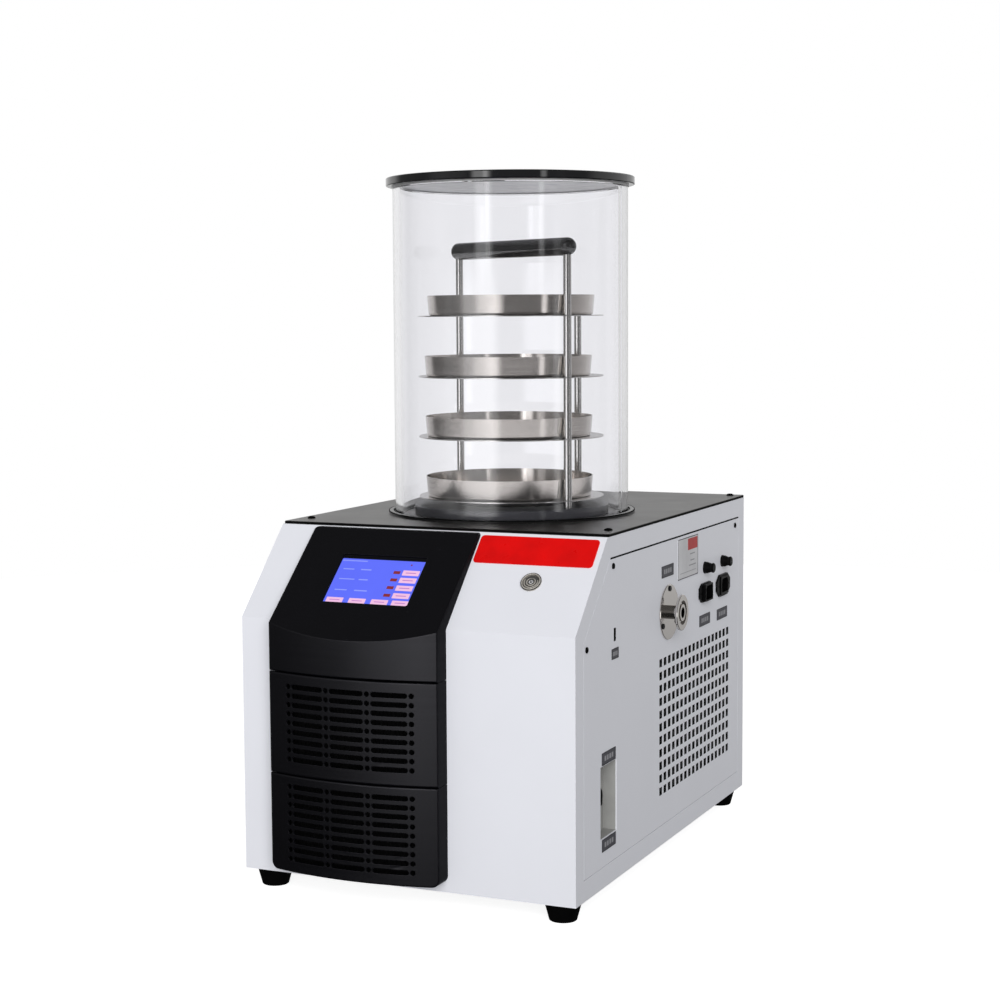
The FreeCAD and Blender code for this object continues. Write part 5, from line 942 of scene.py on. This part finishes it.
def make_filters():
    """Dark pleated sheets behind the grilles and side vents and dark liners in the slots of the sheets:
    painted shade of the dark inside and of the slots' walls.
    """
    for name in ("upper_grille", "lower_grille"):
        low, high = box_of(name)
        corner = Vector((low.x + GRILLE_SIDE, high.y - GRILLE_BACK, low.z + GRILLE_END))
        pleated_shade_sheet(name + "_shade_filter", corner, X_AXIS, Y_AXIS, high.x - low.x - 2 * GRILLE_SIDE,
                      high.z - low.z - 2 * GRILLE_END, GRILLE_PLEATS)
    pocket_end = box_of("drain_pocket")[1].y
    port_low = box_of("vacuum_port")[0].z
    for name, side in (("right_side_panel", 1.0), ("left_side_panel", -1.0)):
        low, high = box_of(name)
        first = pocket_end + POCKET_CLEAR if side > 0 else low.y + LEFT_VENT_START
        limit = port_low if side > 0 else high.z - LEFT_VENT_TOP
        vents = within({1: (first, high.y - SHEET_MARGIN), 2: (low.z + SHEET_MARGIN, limit)})
        points = [vert.co for vert in NODES[name].data.vertices if vents(vert.co)]
        spans = [(min(point[axis] for point in points) - VENT_SURROUND,
                  max(point[axis] for point in points) + VENT_SURROUND) for axis in (1, 2)]
        inner = low.x if side > 0 else high.x
        corner = Vector((inner - side * PANEL_GAP, spans[0][0], spans[1][0]))
        pleated_shade_sheet(name + "_shade_filter", corner, Y_AXIS, X_AXIS * -side, spans[0][1] - spans[0][0],
                      spans[1][1] - spans[1][0], PANEL_PLEATS)
        shade_openings(name + "_slots", name, X_AXIS * side, vents)
    low, high = box_of("rear_panel")
    shade_openings("rear_panel_slots", "rear_panel", Y_AXIS, within({
        0: (low.x + SHEET_MARGIN, high.x - SHEET_MARGIN), 2: (low.z + SHEET_MARGIN, high.z - SHEET_MARGIN)}))


# ---- top plate, lid and seal ----------------------------------------------------------------
ROUND_STEPS = 128
PLATE_CORNER = 2.0 * MM
# Band of painted shade round the top plate's edge.
PLATE_BAND_OUT = 0.25 * MM              # band outside the plate's edge
PLATE_BAND_IN = 0.4 * MM                # and over its rim
PLATE_BAND_LOW = 0.05 * MM              # band above the plate's underside
PLATE_BAND_SHORT = 0.55 * MM            # band less tall than the plate
LID_REFLECTION_EDGE = 9.0 * MM                   # pale disc of painted reflection, inside the cylinder's outer face
LID_REFLECTION_LOW = 0.8 * MM
LID_REFLECTION_BEVEL = 0.4 * MM
AXIS_HOLE = 0.1 * MM                    # keeps turned pieces off their own axis
SEAL_GAP = 1.4 * MM                     # seal's lip outside the cylinder
# Dark rings of painted shade in the seal's groove and along its foot.
SEAL_LINE_DEPTH = 1.2 * MM
SEAL_LINE_PROUD = 0.06 * MM
CAP_RADIUS = 4.6 * MM
CAP_HEIGHT = 2.3 * MM
CAP_SINK = 0.3 * MM
CAP_SOCKET_RADIUS = 1.6 * MM
CAP_ANGLES = (0, 15, 30, 45, 58)        # along the dome


def make_plate_edge_shade():
    """Near-black band round the top plate's edge: painted shade that keeps the edge dark."""
    low, high = box_of("top_plate")
    work = bmesh.new()
    add_frame(work, level_place(low, high, low.z + PLATE_BAND_LOW), high.x - low.x + 2 * PLATE_BAND_OUT,
              high.y - low.y + 2 * PLATE_BAND_OUT, PLATE_CORNER + PLATE_BAND_OUT,
              PLATE_BAND_OUT + PLATE_BAND_IN, high.z - low.z - PLATE_BAND_SHORT)
    finish_piece("top_plate_edge_shade", work, "black_screw_and_shade")


def make_lid_reflection_disc():
    """Pale disc on the underside of the lid, inside the gasket: painted reflection, where the lid's dark
    underside reads bright.
    """
    low, high = box_of("chamber_lid")
    radius = round_radius("chamber_cylinder") - LID_REFLECTION_EDGE
    work = bmesh.new()
    add_turned(work, level_place(low, high, low.z), (
        (AXIS_HOLE, 0.1 * MM), (AXIS_HOLE, -LID_REFLECTION_LOW), (radius - LID_REFLECTION_BEVEL, -LID_REFLECTION_LOW),
        (radius, -LID_REFLECTION_BEVEL), (radius, 0.1 * MM)), ROUND_STEPS)
    finish_piece("chamber_lid_reflection_disc", work, "lid_reflection_disc", smooth=30.0)


def make_seal_shade_lines():
    """Dark rings on the chamber seal: painted shade in its groove inside and along its foot outside."""
    low, high = box_of("seal_ring")
    outer = round_radius("seal_ring")
    inner = round_radius("chamber_cylinder") + SEAL_GAP
    work = bmesh.new()
    for near, far in ((inner, inner + 1.0 * MM), (outer - 0.7 * MM, outer + 0.15 * MM)):
        add_turned(work, level_place(low, high, high.z), (
            (near, -SEAL_LINE_DEPTH), (far, -SEAL_LINE_DEPTH), (far, SEAL_LINE_PROUD),
            (near, SEAL_LINE_PROUD)), ROUND_STEPS)
    finish_piece("seal_ring_shade_lines", work, "black_screw_and_shade", smooth=40.0)


def make_screw_caps():
    """Low domed caps with a hexagon recess on the screws of the top plate."""
    low, high = box_of("top_plate_screws")
    middle = (low + high) / 2
    dome = [(CAP_RADIUS * math.cos(math.radians(angle)), CAP_HEIGHT * math.sin(math.radians(angle)))
            for angle in CAP_ANGLES]
    work = bmesh.new()
    for side in (-1, 1):
        for end in (-1, 1):
            points = [vert.co for vert in NODES["top_plate_screws"].data.vertices
                      if (vert.co.x - middle.x) * side > 0 and (vert.co.y - middle.y) * end > 0]
            x, y = ((min(point[axis] for point in points) + max(point[axis] for point in points)) / 2
                    for axis in (0, 1))
            place = Place(Vector((x, y, high.z)), X_AXIS, Y_AXIS)
            add_turned(work, place, [(CAP_SOCKET_RADIUS, -CAP_SINK), (CAP_RADIUS, -CAP_SINK), *dome,
                                     (CAP_SOCKET_RADIUS, 2.0 * MM)], 32)
            add_turned(work, place, ((0.05 * MM, -CAP_SINK), (1.7 * MM, -CAP_SINK), (1.7 * MM, 0.7 * MM),
                                     (0.05 * MM, 0.7 * MM)), 6)
    finish_piece("top_plate_screw_caps", work, "black_screw_and_shade", smooth=35.0)


# ---- power button ---------------------------------------------------------------------------
# Dark rings of painted shade stand this far proud where the button's grooves are.
GROOVE_SHADE_PROUD = 0.08 * MM
RIM_RADIUS = 0.8 * MM
CAP_RING_SECTION = (0.7 * MM, 0.5 * MM)             # half width and height
CAP_RING_SHARE = 0.56                               # inner ring, as a share of the cap's radius
CAP_GROOVE_SHADE_SHARES = (0.64, 0.80)
SYMBOL_RADII = (1.5 * MM, 2.3 * MM)
SYMBOL_LIFT = 0.15 * MM
SYMBOL_SINK = 0.6 * MM
SYMBOL_START = 125.0                                # degrees, where the open ring begins
SYMBOL_SWEEP = 290.0


def outermost(name):
    """Place on the flat face of a button part that lies furthest out of the slope."""
    patches = flat_patches(name, SLOPE_OUT, 0.99)
    patch = max(patches, key=lambda entry: max(point.dot(SLOPE_OUT) for point in entry[1]))
    return patch_place(patch, X_AXIS)[0]


def make_button_details():
    """Rim round the push cap, rings and a plain power symbol on it, and dark rings of painted shade in the
    grooves round and on the cap.
    """
    flange, cap = outermost("power_button_body"), outermost("power_button_cap")
    outer, inner = round_radius("power_button_body"), round_radius("power_button_cap")
    middle = (outer + inner) / 2
    arc = [(math.cos(math.radians(angle)), math.sin(math.radians(angle))) for angle in range(0, 181, 20)]
    rim, groove, rings, dark, symbol = (bmesh.new() for _ in range(5))
    add_turned(rim, flange, [(middle + RIM_RADIUS * along, RIM_RADIUS * lift) for along, lift in arc])
    # Dark rings beside the rim: painted shade of the grooves.
    for near, far in ((inner + 0.1 * MM, middle - 0.6 * MM), (middle + 0.6 * MM, outer + 0.1 * MM)):
        add_turned(groove, flange, ((near, -0.6 * MM), (far, -0.6 * MM), (far, GROOVE_SHADE_PROUD),
                                    (near, GROOVE_SHADE_PROUD)))
    finish_piece("power_button_rim", rim, "satin_silver", smooth=50.0)
    finish_piece("power_button_groove_shade", groove, "black_steel", smooth=30.0)
    half, tall = CAP_RING_SECTION
    for radius in (inner - 1.0 * MM, inner * CAP_RING_SHARE):
        add_turned(rings, cap, [(radius + half * along, tall * lift) for along, lift in arc])
    # Dark ring on the cap: painted shade of its groove.
    near, far = (inner * share for share in CAP_GROOVE_SHADE_SHARES)
    add_turned(dark, cap, ((near, -0.4 * MM), (far, -0.4 * MM), (far, GROOVE_SHADE_PROUD), (near, GROOVE_SHADE_PROUD)))
    finish_piece("power_button_rings", rings, "satin_silver", "power_button", 50.0)
    finish_piece("power_button_cap_groove_shade", dark, "black_steel", "power_button", 30.0)
    near, far = SYMBOL_RADII
    add_turned(symbol, cap, ((near, -SYMBOL_SINK), (near, SYMBOL_LIFT), (far, SYMBOL_LIFT),
                             (far, -SYMBOL_SINK)), 48, SYMBOL_START, SYMBOL_SWEEP)
    add_tile(symbol, cap.shifted(0.0, 1.7 * MM, -SYMBOL_SINK), 0.8 * MM, 2.2 * MM, 0.2 * MM, 0.75 * MM,
             0.05 * MM)
    finish_piece("power_button_symbol", symbol, "label_white", "power_button", 30.0)


dress_cad_nodes()
make_display()
make_labels()
make_seam_shade_strips()
make_filters()
make_lid_reflection_disc()
make_plate_edge_shade()
make_seal_shade_lines()
make_screw_caps()
make_button_details()
make_camera()
make_world()
make_sun()
make_floor()
